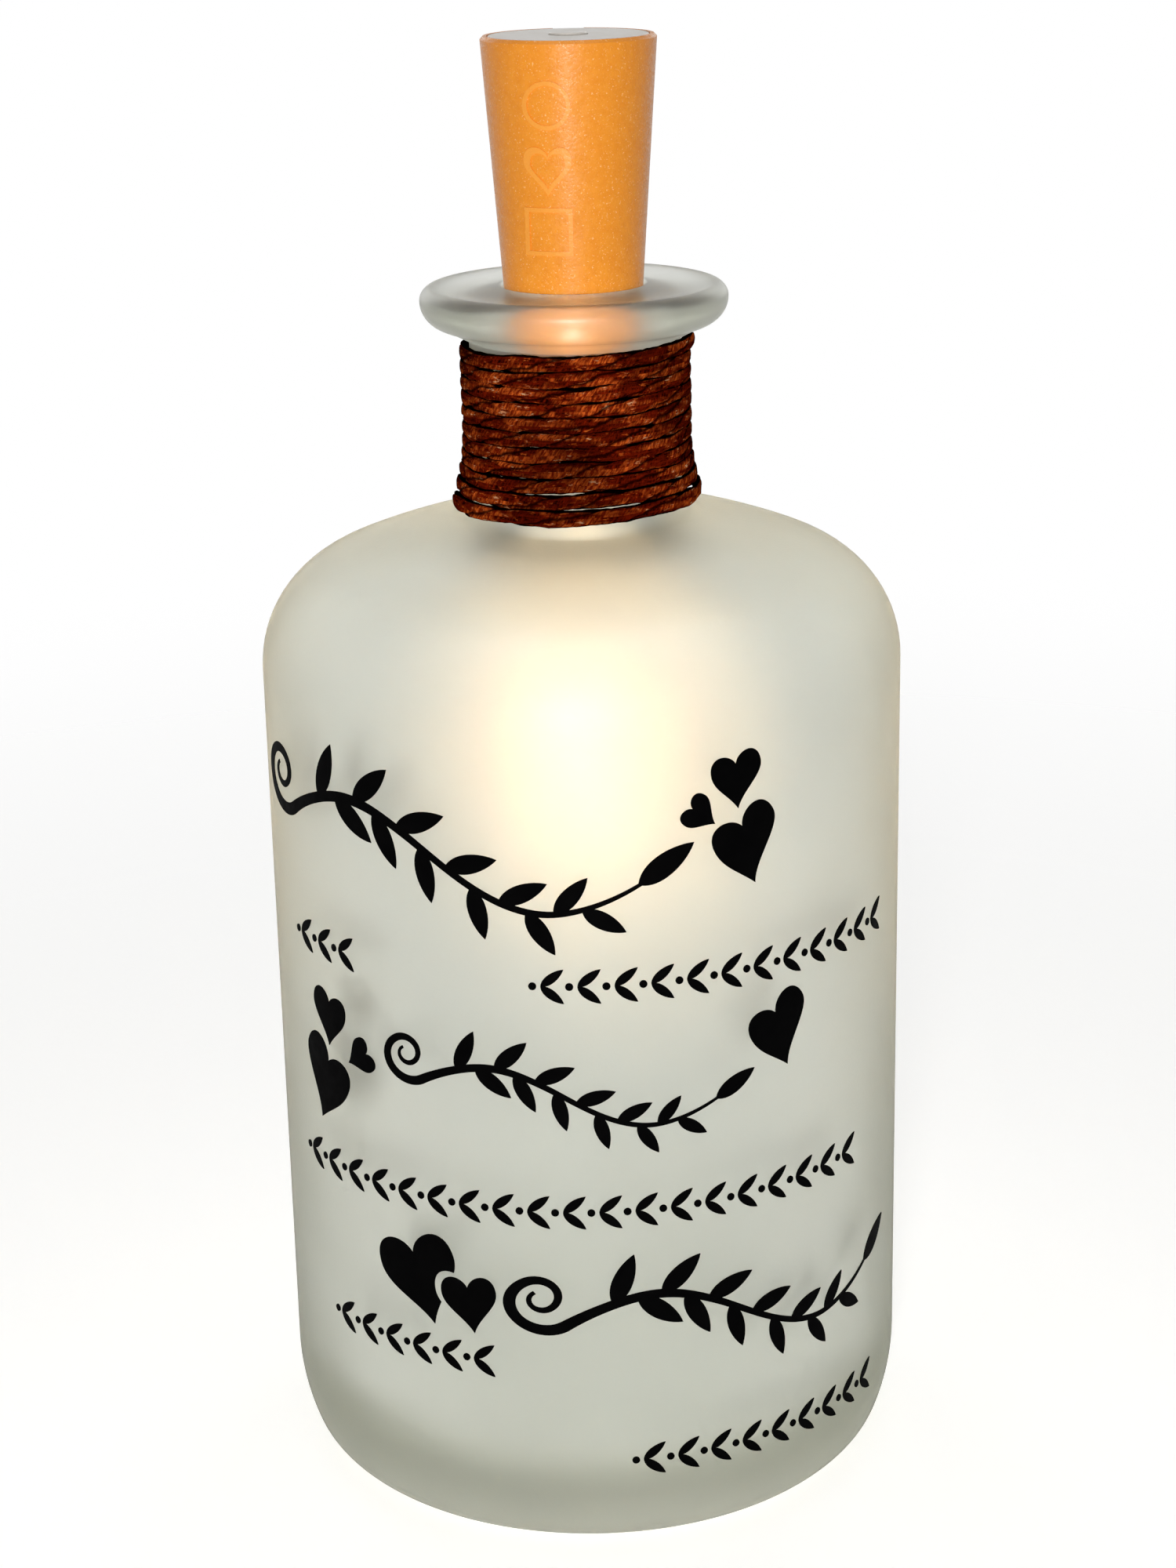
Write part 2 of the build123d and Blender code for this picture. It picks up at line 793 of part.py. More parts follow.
def cap_contact():
    """A sprung brass cone that presses on the top cell."""
    root = carrier_bottom
    tip = stack_top + contact_gap
    return turned_polygon([
        (0, tip),
        (contact_tip_radius, tip),
        (contact_radius, root - contact_thickness),
        (contact_radius, root),
        (contact_radius - contact_thickness, root),
        (contact_tip_radius, tip + contact_thickness),
        (0, tip + contact_thickness),
    ])


def switch_body():
    return Pos(0, 0, (carrier_top + switch_top) / 2) * Box(switch_side, switch_side, switch_height)


def push_button():
    crown = cap_top + button_proud
    return turned_polygon([
        (0, button_stem_bottom),
        (button_stem_radius, button_stem_bottom),
        (button_stem_radius, button_flange_bottom),
        (button_flange_radius, button_flange_bottom),
        (button_flange_radius, button_flange_top),
        (button_radius, button_flange_top),
        (button_radius, crown - cap_edge),
        (button_radius - cap_edge, crown),
        (0, crown),
    ])


def spring_place(turn):
    rise = (button_flange_bottom - switch_top - spring_wire - 2 * strip_clearance) / spring_turns
    angle = math.radians(full_turn * turn)
    height = switch_top + strip_clearance + spring_wire / 2 + rise * turn
    return Vector(spring_radius * math.cos(angle), spring_radius * math.sin(angle), height)


def button_spring():
    least_gap("button_spring", spring_place, spring_turns, spring_wire)
    edges = winding_edges(spring_place, spring_turns, spring_wire)
    return tube_along(edges, spring_wire / 2)


# String of lamps


def coil_place(turn):
    growth = min(1, max(0, turn))
    eased = growth * growth * (3 - 2 * growth)
    wobble = coil_wobble * math.sin(2 * math.pi * turn / 5) * eased
    radius = coil_start_radius + (coil_radius - coil_start_radius) * eased + wobble
    angle = math.radians(full_turn * turn + coil_start_angle)
    height = coil_top_height - coil_pitch * turn + coil_lead_drop * (1 - growth) ** 2
    return Vector(radius * math.cos(angle), radius * math.sin(angle), height)


arc_share = 0.45

# Hand-chosen points of the wire's free stretches, from the gland down and from the coil down
drop_points = [
    (0, 0, gland_tip),
    (0.1, 0.2, 135.2),
    (1.1, -2.0, 129.4),
    (-0.6, -6.4, 123.0),
]
tail_points = [
    (6.6, 2.4, 86.4),
    (5.0, 2.9, 82.0),
    (5.6, 1.4, 77.6),
]


def coil_end(turn, way_out):
    """The end of the coil's straight run, and the next point of the free stretch in line with it."""
    way = way_along(coil_place, turn) * way_out
    face = coil_place(turn) + way * wire_diameter
    return face, face + way * wire_entry_run


def drop_route():
    face, before = coil_end(0, -1)
    return drop_points + [tuple(before), tuple(face)]


def tail_route():
    face, after = coil_end(coil_turns, 1)
    return [tuple(face), tuple(after)] + tail_points


def arc_radii(points):
    """Each arc takes its share of the shorter run beside it."""
    places = [Vector(*point) for point in points]
    radii = []
    for before, here, after in zip(places, places[1:], places[2:]):
        turn = (here - before).get_angle(after - here)
        shorter = min((here - before).length, (after - here).length)
        radii.append(arc_share * shorter / math.tan(math.radians(turn) / 2))
    return radii


def free_tube(name, points):
    radii = arc_radii(points)
    print(name, "radii", [round(radius, 2) for radius in radii])
    route = FilletPolyline(*points, radius=radii)
    start = Plane(origin=route @ 0, z_dir=route % 0)
    tube = sweep(start * Circle(wire_radius), path=route)
    ratio = tube.volume / (math.pi * wire_radius**2 * route.length)
    print(name, "length", round(route.length, 1), "volume ratio", round(ratio, 5))
    return tube


def light_wire_coil():
    least_gap("light_wire_coil", coil_place, coil_turns, wire_diameter)
    return tube_along(winding_edges(coil_place, coil_turns, wire_diameter), wire_radius)


def lamp_places():
    """Middle and direction of each lamp: on the drop, round the coil and at the tail's end."""
    upper = Vector(*drop_points[2])
    lower = Vector(*drop_points[3])
    places = [((upper + lower) / 2, (lower - upper).normalized())]
    for index in range(bead_count):
        turn = bead_first_turn + index * bead_turn_step
        places.append((coil_place(turn), way_along(coil_place, turn)))
    last = Vector(*tail_points[-1])
    places.append((last, (last - Vector(*tail_points[-2])).normalized()))
    return places


def led_drops():
    swell = drop_bead_radius * drop_swell_share
    belly = drop_bead_half_length * drop_belly_share
    low = rz((0, -drop_bead_half_length))
    high = rz((0, drop_bead_half_length))
    side = Bezier(low, rz((swell, -belly)), rz((swell, belly)), high)
    drop = turned([side, Line(high, low)])
    return [Plane(origin=middle, z_dir=way) * drop for middle, way in lamp_places()]


def led_chips():
    chip = Pos(wire_radius + chip_gap + chip_width / 2, 0, 0) * Box(chip_width, chip_width, chip_length)
    return [Plane(origin=middle, z_dir=way) * chip for middle, way in lamp_places()]


# All sub-parts by name


def all_parts():
    parts = {
        "bottle": bottle(),
        "neck_wrap": neck_wrap(),
        "hearts_low": paired_hearts("hearts_low"),
    }
    for name in ("hearts_top", "hearts_left", "heart_right"):
        parts[name] = heart_decals(name)
    for name in spray_shares:
        parts[name] = spray(name)
    for name in band_shares:
        parts[name] = leaf_band(name)
    parts["stopper_shell"] = stopper_shell()
    for index, name in enumerate(("cell_lower", "cell_middle", "cell_upper")):
        parts[name] = cell(index)
    parts["bottom_contact"] = bottom_contact()
    parts["side_strip"] = side_strip()
    parts["circuit_board"] = circuit_board()
    parts["resistor"] = resistor()
    parts["lower_plug"] = lower_plug()
    parts["wire_gland"] = wire_gland()
    parts["lead_wires"] = lead_wires()
    parts["top_cap"] = top_cap()
    parts["contact_carrier"] = contact_carrier()
    parts["cap_contact"] = cap_contact()
    parts["switch_body"] = switch_body()
    parts["push_button"] = push_button()
    parts["button_spring"] = button_spring()
    parts["light_wire_drop"] = free_tube("light_wire_drop", drop_route())
    parts["light_wire_coil"] = light_wire_coil()
    parts["light_wire_tail"] = free_tube("light_wire_tail", tail_route())
    parts["led_drops"] = led_drops()
    parts["led_chips"] = led_chips()
    return parts


def solids_of(shape):
    if isinstance(shape, list):
        return [solid for piece in shape for solid in piece.solids()]
    return list(shape.solids())


os.makedirs("parts", exist_ok=True)
for name, shape in all_parts().items():
    solids = solids_of(shape)
    whole = solids[0] if len(solids) == 1 else Compound(children=solids)
    export_step(whole, f"parts/{name}.step")
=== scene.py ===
import json
import math

import bpy
import numpy as np
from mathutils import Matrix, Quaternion, Vector


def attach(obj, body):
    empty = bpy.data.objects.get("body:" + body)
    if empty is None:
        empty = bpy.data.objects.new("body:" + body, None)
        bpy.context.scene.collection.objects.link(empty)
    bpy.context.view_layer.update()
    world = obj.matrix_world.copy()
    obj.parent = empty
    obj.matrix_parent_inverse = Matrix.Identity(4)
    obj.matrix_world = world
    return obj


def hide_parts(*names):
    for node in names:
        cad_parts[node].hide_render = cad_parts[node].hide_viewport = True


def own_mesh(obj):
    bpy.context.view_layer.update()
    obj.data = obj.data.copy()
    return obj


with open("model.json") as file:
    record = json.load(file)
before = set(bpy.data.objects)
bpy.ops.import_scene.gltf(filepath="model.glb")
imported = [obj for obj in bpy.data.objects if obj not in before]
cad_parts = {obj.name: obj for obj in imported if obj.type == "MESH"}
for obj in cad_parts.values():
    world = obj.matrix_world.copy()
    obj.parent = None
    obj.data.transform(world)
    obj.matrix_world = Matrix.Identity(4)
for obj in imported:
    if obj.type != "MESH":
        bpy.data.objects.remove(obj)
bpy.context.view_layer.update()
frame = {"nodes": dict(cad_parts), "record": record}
nodes = frame["nodes"]

# Main sizes in millimetres, with heights from the surface that the bottle stands on

MM = 0.001
BODY_RADIUS = 42.5
NECK_RADIUS = 13.7
MOUTH_HEIGHT = 161.8
BORE_RADIUS = 9.024
WALL = 3.2
WIRE_DIAMETER = 0.6
GLAND_TIP = 141.4


def place_object(name, data):
    """A new object in the scene."""
    thing = bpy.data.objects.new(name, data)
    bpy.context.scene.collection.objects.link(thing)
    return thing


# Camera: film and focal length in millimetres, distances in metres, angles in degrees

FILM_WIDTH = 36
FOCAL_LENGTH = 69.22
NEAREST_SEEN = 0.01
CAMERA_PLACE = (0.0005, -0.3892, 0.2216)
CAMERA_DIP = 18.177
CAMERA_ROLL = -1.21


def place_camera():
    """The camera, tilted down at the bottle and rolled a little."""
    data = bpy.data.cameras.new("camera")
    data.sensor_width = FILM_WIDTH
    data.lens = FOCAL_LENGTH
    data.clip_start = NEAREST_SEEN
    camera = place_object("camera", data)
    camera.location = CAMERA_PLACE
    camera.rotation_mode = "QUATERNION"
    tilt = Quaternion((1, 0, 0), math.radians(90 - CAMERA_DIP))
    roll = Quaternion((0, 0, 1), math.radians(CAMERA_ROLL))
    camera.rotation_quaternion = tilt @ roll
    bpy.context.scene.camera = camera


# String of lamps

COIL_TURNS = 14
COIL_POINTS_PER_TURN = 16
COIL_PITCH = 1.3
COIL_TOP = 108.1
COIL_ENTRY_RISE = 6.0
COIL_FIRST_RADIUS = 4.4
COIL_RADIUS = 6.3
COIL_WOBBLE = 0.45
TURNS_PER_WOBBLE = 5
COIL_START_ANGLE = -45
WIRE_LEAD = 4.5
DROP_POINTS = [
    (0, 0, GLAND_TIP),
    (0.1, 0.2, 135.2),
    (1.1, -2.0, 129.4),
    (-0.6, -6.4, 123.0),
]
TAIL_POINTS = [
    (6.6, 2.4, 86.4),
    (5.0, 2.9, 82.0),
    (5.6, 1.4, 77.6),
]


def coil_place(turn):
    """A point of the coil, which widens over its first turn and then wobbles a little."""
    growth = min(1, max(0, turn))
    eased = growth * growth * (3 - 2 * growth)
    wobble = COIL_WOBBLE * math.sin(2 * math.pi * turn / TURNS_PER_WOBBLE) * eased
    radius = COIL_FIRST_RADIUS + (COIL_RADIUS - COIL_FIRST_RADIUS) * eased + wobble
    angle = math.radians(360 * turn + COIL_START_ANGLE)
    height = COIL_TOP - COIL_PITCH * turn + COIL_ENTRY_RISE * (1 - growth) ** 2
    return Vector((radius * math.cos(angle), radius * math.sin(angle), height))


def coil_way(turn):
    """The wire's direction at a point of the coil."""
    step = 1 / 360
    return (coil_place(turn + step) - coil_place(turn - step)).normalized()


def string_route():
    """The wire's points from the gland down, round the coil and out to its end, in millimetres."""
    first_face = coil_place(0) - coil_way(0) * WIRE_DIAMETER
    last_face = coil_place(COIL_TURNS) + coil_way(COIL_TURNS) * WIRE_DIAMETER
    route = [Vector(point) for point in DROP_POINTS]
    route += [first_face - coil_way(0) * WIRE_LEAD, first_face]
    for index in range(COIL_TURNS * COIL_POINTS_PER_TURN + 1):
        route.append(coil_place(index / COIL_POINTS_PER_TURN))
    route += [last_face, last_face + coil_way(COIL_TURNS) * WIRE_LEAD]
    route += [Vector(point) for point in TAIL_POINTS]
    return route


def light_string():
    """The thin wire that hangs the lamps from the stopper, as one round curve."""
    route = string_route()
    curve = bpy.data.curves.new("light_string", "CURVE")
    curve.dimensions = "3D"
    spline = curve.splines.new("NURBS")
    spline.points.add(len(route) - 1)
    for point, place in zip(spline.points, route):
        point.co = (*(place * MM), 1)
        point.radius = WIRE_DIAMETER / 2 * MM
    spline.order_u = 3
    spline.use_endpoint_u = True
    curve.resolution_u = 6
    curve.bevel_depth = 1
    curve.bevel_resolution = 3
    curve.use_fill_caps = True
    wire = place_object("light_string", curve)
    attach(wire, "stopper")
    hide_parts("light_wire_drop", "light_wire_coil", "light_wire_tail")
    return wire


# Mesh helpers


def mesh_object(name, points, faces, body, smooth_angle=40):
    """A smooth piece with sharp edges past an angle, riding on a body."""
    mesh = bpy.data.meshes.new(name)
    mesh.from_pydata([tuple(point) for point in points], [], faces)
    mesh.validate()
    mesh.update()
    mesh.shade_smooth()
    mesh.set_sharp_from_angle(angle=math.radians(smooth_angle))
    piece = place_object(name, mesh)
    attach(piece, body)
    return piece


def arc(center, radius, start, end, steps):
    """Points of an arc in the profile plane, without its first point."""
    turns = [math.radians(start + (end - start) * index / steps) for index in range(1, steps + 1)]
    return [(center[0] + radius * math.cos(t), center[1] + radius * math.sin(t)) for t in turns]


def straight(start, end, steps):
    """Points of a straight line in the profile plane, without its first point."""
    shares = [index / steps for index in range(1, steps + 1)]
    return [(start[0] + (end[0] - start[0]) * s, start[1] + (end[1] - start[1]) * s) for s in shares]


def ring_faces(rows, sides, first=0):
    """Faces between neighbouring rings of points, where first is the number of the first point."""
    faces = []
    for row in range(rows - 1):
        base = first + row * sides
        for side in range(sides):
            after = (side + 1) % sides
            faces.append((base + side, base + after, base + sides + after, base + sides + side))
    return faces


def lathe(profile, segments):
    """Points and faces of a turned solid whose profile starts and ends on the axis."""
    inner = profile[1:-1]
    points = [(0, 0, profile[0][1] * MM), (0, 0, profile[-1][1] * MM)]
    for radius, height in inner:
        for index in range(segments):
            turn = 2 * math.pi * index / segments
            points.append((radius * math.cos(turn) * MM, radius * math.sin(turn) * MM, height * MM))
    faces = []
    last = 2 + (len(inner) - 1) * segments
    for index in range(segments):
        after = (index + 1) % segments
        faces.append((0, 2 + after, 2 + index))
        faces.append((1, last + index, last + after))
    return points, faces + ring_faces(len(inner), segments, first=2)


def tube_faces(rows, sides):
    """Faces of a closed tube whose points go round each row in turn."""
    faces = ring_faces(rows, sides)
    faces.append(tuple(range(sides))[::-1])
    faces.append(tuple((rows - 1) * sides + side for side in range(sides)))
    return faces


def tube_points(centers, out, up):
    """Points of a tube that winds round the upright axis, at distances outward and upward of its middle."""
    way = np.gradient(centers, axis=0)
    way /= np.linalg.norm(way, axis=1, keepdims=True)
    outward = centers * (1, 1, 0)
    outward /= np.linalg.norm(outward, axis=1, keepdims=True)
    upward = np.cross(way, outward)
    upward *= np.sign(upward[:, 2:3]) / np.linalg.norm(upward, axis=1, keepdims=True)
    points = centers[:, None, :] + outward[:, None, :] * out[..., None] + upward[:, None, :] * up[..., None]
    return (points * MM).reshape(-1, 3).tolist()


# Glass bottle: the shoulder is a tight arc that a wide shallow crown follows up to the neck

GLASS_SEGMENTS = 256
SHOULDER_RADIUS = 15.5
SHOULDER_SWEEP = 67.3
SHOULDER = (BODY_RADIUS - SHOULDER_RADIUS, 112.4)
CROWN_RADIUS = 90.0
CROWN_REACH = CROWN_RADIUS - SHOULDER_RADIUS
CROWN = (
    SHOULDER[0] - CROWN_REACH * math.cos(math.radians(SHOULDER_SWEEP)),
    SHOULDER[1] - CROWN_REACH * math.sin(math.radians(SHOULDER_SWEEP)),
)
NECK_BLEND = 4.0
BORE_BLEND = 5.0
HEEL_RADIUS = 28.9
HEEL_HEIGHT = 14.1
HEEL_SWEEP = 19.5
BEARING_RING_WIDTH = 4.0
PUNT_HEIGHT = 3.0
PUNT_STEPS = 12
LIP_ROOT = (NECK_RADIUS, MOUTH_HEIGHT - 6.9)
LIP_UNDERSIDE = (17.0, MOUTH_HEIGHT - 5.2)
LIP_WIDEST = (19.95, MOUTH_HEIGHT - 1.8)
LIP_RIDGE = (18.2, MOUTH_HEIGHT)
LIP_DISH = 0.35
LIP_DISH_STEPS = 10
MOUTH_ROUND = 0.6
INNER_HEEL = 10.0
BASE_THICKNESS = 8.0
FROST_FADES_AT = MOUTH_HEIGHT - 7.5
FROST_FADE_HEIGHT = 2
FROST_LOST_ON_LIP = 0.6


def blend_arc(crown_radius, tube_radius, blend_radius):
    """Centre of the arc that joins the crown to an upright tube, and its angle where it leaves the crown."""
    reach = crown_radius + blend_radius
    across = tube_radius + blend_radius - CROWN[0]
    height = CROWN[1] + math.sqrt(reach**2 - across**2)
    return (tube_radius + blend_radius, height), math.degrees(math.acos(across / reach))


def lip_arc(other):
    """Centre, radius and end angle of the arc that leaves the lip's widest circle upright for a point."""
    across = LIP_WIDEST[0] - other[0]
    rise = other[1] - LIP_WIDEST[1]
    radius = (across**2 + rise**2) / (2 * across)
    center = (LIP_WIDEST[0] - radius, LIP_WIDEST[1])
    return center, radius, math.degrees(math.atan2(rise, other[0] - center[0]))


def body_profile():
    """The outside from the middle of the base up to the neck, as radii and heights in millimetres."""
    sweep = math.radians(HEEL_SWEEP)
    heel = (BODY_RADIUS - HEEL_RADIUS, HEEL_HEIGHT)
    toe_radius = (HEEL_HEIGHT - HEEL_RADIUS * math.sin(sweep)) / (1 - math.sin(sweep))
    toe = (heel[0] + (HEEL_RADIUS - toe_radius) * math.cos(sweep), toe_radius)
    punt_radius = toe[0] - BEARING_RING_WIDTH
    profile = [(0, PUNT_HEIGHT)]
    for step in range(1, PUNT_STEPS + 1):
        profile.append((punt_radius * step / PUNT_STEPS, PUNT_HEIGHT * (1 - (step / PUNT_STEPS) ** 2)))
    profile += straight(profile[-1], (toe[0], 0), 2)
    profile += arc(toe, toe_radius, -90, -HEEL_SWEEP, 16)
    profile += arc(heel, HEEL_RADIUS, -HEEL_SWEEP, 0, 8)
    profile += straight(profile[-1], (BODY_RADIUS, SHOULDER[1]), 24)
    profile += arc(SHOULDER, SHOULDER_RADIUS, 0, SHOULDER_SWEEP, 16)
    blend, crown_angle = blend_arc(CROWN_RADIUS, NECK_RADIUS, NECK_BLEND)
    profile += arc(CROWN, CROWN_RADIUS, SHOULDER_SWEEP, crown_angle, 10)
    profile += arc(blend, NECK_BLEND, crown_angle - 180, -180, 10)
    return profile


def lip_profile(neck_foot):
    """The neck, the flanged lip with its shallow dish, and the round edge of the mouth."""
    profile = straight(neck_foot, LIP_ROOT, 8)
    profile += straight(LIP_ROOT, LIP_UNDERSIDE, 3)
    center, radius, angle = lip_arc(LIP_UNDERSIDE)
    profile += arc(center, radius, angle, 0, 12)
    center, radius, angle = lip_arc(LIP_RIDGE)
    profile += arc(center, radius, 0, angle, 12)
    half = (LIP_RIDGE[0] - (BORE_RADIUS + MOUTH_ROUND)) / 2
    for step in range(1, LIP_DISH_STEPS + 1):
        radius = LIP_RIDGE[0] - half + half * math.cos(math.pi * step / LIP_DISH_STEPS)
        sunk = LIP_DISH * (1 - ((radius - LIP_RIDGE[0] + half) / half) ** 2)
        profile.append((radius, MOUTH_HEIGHT - sunk))
    profile += arc((BORE_RADIUS + MOUTH_ROUND, MOUTH_HEIGHT - MOUTH_ROUND), MOUTH_ROUND, 90, 180, 6)
    return profile


def inside_profile(mouth):
    """The inside from the mouth down to the middle of the base."""
    blend, crown_angle = blend_arc(CROWN_RADIUS - WALL, BORE_RADIUS, BORE_BLEND)
    inner_radius = BODY_RADIUS - WALL
    heel = (inner_radius - INNER_HEEL, BASE_THICKNESS + INNER_HEEL)
    profile = straight(mouth, (BORE_RADIUS, blend[1]), 8)
    profile += arc(blend, BORE_BLEND, -180, crown_angle - 180, 8)
    profile += arc(CROWN, CROWN_RADIUS - WALL, crown_angle, SHOULDER_SWEEP, 10)
    profile += arc(SHOULDER, SHOULDER_RADIUS - WALL, SHOULDER_SWEEP, 0, 12)
    profile += straight(profile[-1], (inner_radius, heel[1]), 20)
    profile += arc(heel, INNER_HEEL, 0, -90, 10)
    profile += straight(profile[-1], (0, BASE_THICKNESS), 6)
    return profile


def glass_bottle(material):
    """The turned bottle, with a mask that is 1 on the etched outside, less on the lip and 0 inside."""
    outside = body_profile()
    outside += lip_profile(outside[-1])
    inside = inside_profile(outside[-1])
    points, faces = lathe(outside + inside, GLASS_SEGMENTS)
    bottle = mesh_object("glass_bottle", points, faces, "bottle")
    frosting = []
    for _, height in outside:
        up_lip = min(1, max(0, (height - FROST_FADES_AT) / FROST_FADE_HEIGHT))
        frosting.append(1.0 - FROST_LOST_ON_LIP * up_lip)
    frosting += [0.0] * len(inside)
    by_point = [frosting[0], frosting[-1]]
    for share in frosting[1:-1]:
        by_point += [share] * GLASS_SEGMENTS
    etched = bottle.data.attributes.new("etched", "FLOAT", "POINT")
    etched.data.foreach_set("value", by_point)
    bottle.data.materials.append(material)
    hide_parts("bottle")


# Waxed cord round the neck: sizes in millimetres, the crease's width in radians of the way round

WRAP_TURNS = 10.5
WRAP_PITCH = 1.93
WRAP_TOP = 154.29
WRAP_RADIUS = 14.42
FLARE_OUT = 1.6
FLARE_HEIGHT = 9.0
LOOSE_END = 7
LOOSE_END_OUT = 0.75
LOOSE_END_UP = 0.35
CALM_TURNS = 1.2
CORD_STEP = 0.4
CORD_SIDES = 28
CORD_DEEP = 0.60
CORD_HIGH = 1.07
CORD_ROUND = 5.6
CORD_TWIST = 21.0
CORD_SQUARENESS = 0.82
CREASE_WIDTH = 0.26
CREASE_DEPTH = 0.30
CRUMPLE_SLANT = 2.1
CRUMPLE_FOLD = 3.3
END_TAPER = 1.5
END_SHARE = 0.35


def wave(place, seed, period, size):
    """A smooth uneven wave up to size high that never quite repeats."""
    rates = (1.0, 1.73, 2.91, 4.37)
    weights = (0.45, 0.28, 0.17, 0.10)
    phases = np.random.default_rng(seed).random(len(rates)) * 2 * math.pi
    return size * sum(
        weight * np.sin(2 * math.pi * place * rate / period + phase)
        for rate, weight, phase in zip(rates, weights, phases)
    )


def wrap_centers(along, length):
    """Middle of the cord at each distance along it: the lowest turns flare and the upper end stands off."""
    left = WRAP_TURNS * (1 - along / length)
    height = WRAP_TOP - left * WRAP_PITCH
    flare = np.clip(1 - (height - WRAP_TOP + WRAP_TURNS * WRAP_PITCH) / FLARE_HEIGHT, 0, None)
    loose = np.clip(1 - (length - along) / LOOSE_END, 0, None)
    radius = (
        WRAP_RADIUS
        + FLARE_OUT * flare**2
        + wave(along, seed=5, period=23, size=0.08)
        + LOOSE_END_OUT * loose**2
    )
    waver = wave(along, seed=3, period=29, size=0.21) * np.minimum(1, left / CALM_TURNS)
    height += waver + LOOSE_END_UP * loose**2
    angle = -2 * math.pi * left
    return np.stack([radius * np.cos(angle), radius * np.sin(angle), height], axis=1)


def cord_creases(place, turn):
    """1 in the two creases where the plies meet and 0 away from them, along and round the cord."""
    twist = (
        2 * math.pi * place / CORD_TWIST
        + wave(place, seed=11, period=61, size=1.3)
        + wave(place, seed=41, period=6, size=0.28)
    )
    from_crease = np.abs(np.mod(turn - twist + math.pi / 2, math.pi) - math.pi / 2)
    return np.exp(-((from_crease / CREASE_WIDTH) ** 2))


def cord_skin(place, turn, creased, length):
    """How far outward and upward of its middle the flattened, crumpled cord reaches at each place."""
    crease = 1 - CREASE_DEPTH * creased
    crumple = (
        1
        + wave(place + CRUMPLE_SLANT * np.sin(turn), seed=23, period=3.1, size=0.05)
        + wave(place + CRUMPLE_FOLD * np.cos(2 * turn), seed=31, period=7, size=0.05)
    )
    shrink = np.clip(np.minimum(place, length - place) / END_TAPER + END_SHARE, 0, 1)
    deep = CORD_DEEP * crease * crumple * shrink * (1 + wave(place, seed=17, period=13, size=0.12))
    high = CORD_HIGH * crease * crumple * shrink * (1 + wave(place, seed=29, period=17, size=0.14))
    out_share = np.sign(np.cos(turn)) * np.abs(np.cos(turn)) ** CORD_SQUARENESS
    up_share = np.sign(np.sin(turn)) * np.abs(np.sin(turn)) ** CORD_SQUARENESS
    return deep * out_share, high * up_share


def unroll_cord(mesh, along):
    """A layer that gives each corner of a face its millimetres along the cord and round it."""
    layer = mesh.uv_layers.new(name="cord")
    for face in mesh.polygons:
        sides = [mesh.loops[loop].vertex_index % CORD_SIDES for loop in face.loop_indices]
        closes = max(sides) - min(sides) > 1
        for loop, side in zip(face.loop_indices, sides):
            around = side + CORD_SIDES if closes and side == 0 else side
            row = mesh.loops[loop].vertex_index // CORD_SIDES
            layer.data[loop].uv = (along[row], around * CORD_ROUND / CORD_SIDES)


def neck_cord(material):
    """Two flattened plies twisted into one papery cord: their crease runs slantwise over each turn."""
    length = WRAP_TURNS * 2 * math.pi * WRAP_RADIUS
    rows = int(length / CORD_STEP) + 1
    along = np.linspace(0, length, rows)
    place = along[:, None]
    turn = 2 * math.pi * np.arange(CORD_SIDES) / CORD_SIDES
    creased = cord_creases(place, turn)
    points = tube_points(wrap_centers(along, length), *cord_skin(place, turn, creased, length))
    cord = mesh_object("neck_cord", points, tube_faces(rows, CORD_SIDES), "bottle", smooth_angle=60)
    unroll_cord(cord.data, along)
    # The crease mask is kept on the mesh for the material's painted shade along the creases.
    painted_hollow_shade = cord.data.attributes.new("crease", "FLOAT", "POINT")
    painted_hollow_shade.data.foreach_set("value", creased.reshape(-1))
    cord.data.materials.append(material)
    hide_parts("neck_wrap")


# Button spring

SPRING_TURNS = 2.5
SPRING_RADIUS = 2.1
SPRING_WIRE = 0.3
SPRING_SEAT = 187.9
SPRING_CLEARANCE = 0.1
SPRING_RISE = 1.9
SPRING_ROWS = 90
SPRING_SIDES = 16


def button_spring(material):
    """The steel spring between the switch and the button, built at one length and riding on the cap."""
    share = np.linspace(0, 1, SPRING_ROWS)
    angle = 2 * math.pi * SPRING_TURNS * share
    height = SPRING_SEAT + SPRING_CLEARANCE + SPRING_WIRE / 2 + SPRING_RISE * share
    centers = np.stack([SPRING_RADIUS * np.cos(angle), SPRING_RADIUS * np.sin(angle), height], axis=1)
    turn = 2 * math.pi * np.arange(SPRING_SIDES) / SPRING_SIDES
    points = tube_points(centers, SPRING_WIRE / 2 * np.cos(turn), SPRING_WIRE / 2 * np.sin(turn))
    spring = mesh_object("button_coil", points, tube_faces(SPRING_ROWS, SPRING_SIDES), "cap")
    spring.data.materials.append(material)
    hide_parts("button_spring")
    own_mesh(spring)


# Material helpers


def add(tree, kind, inputs=None, **settings):
    """A new node with its settings, and with each input given as a value or as a socket to link."""
    node = tree.nodes.new(kind)
    for name, value in settings.items():
        setattr(node, name, value)
    for name, value in (inputs or {}).items():
        socket = node.inputs[name]
        if isinstance(value, bpy.types.NodeSocket):
            tree.links.new(value, socket)
        else:
            socket.default_value = value
    return node


def arithmetic(tree, operation, *values):
    """The result of one operation on numbers or sockets."""
    return add(tree, "ShaderNodeMath", dict(enumerate(values)), operation=operation).outputs[0]


def new_group(name, inputs, outputs):
    """A node group with float inputs and the named outputs."""
    tree = bpy.data.node_groups.new(name, "ShaderNodeTree")
    for label, value in inputs:
        socket = tree.interface.new_socket(label, in_out="INPUT", socket_type="NodeSocketFloat")
        socket.default_value = value
    for label, kind in outputs:
        tree.interface.new_socket(label, in_out="OUTPUT", socket_type=kind)
    return tree, add(tree, "NodeGroupInput"), add(tree, "NodeGroupOutput")


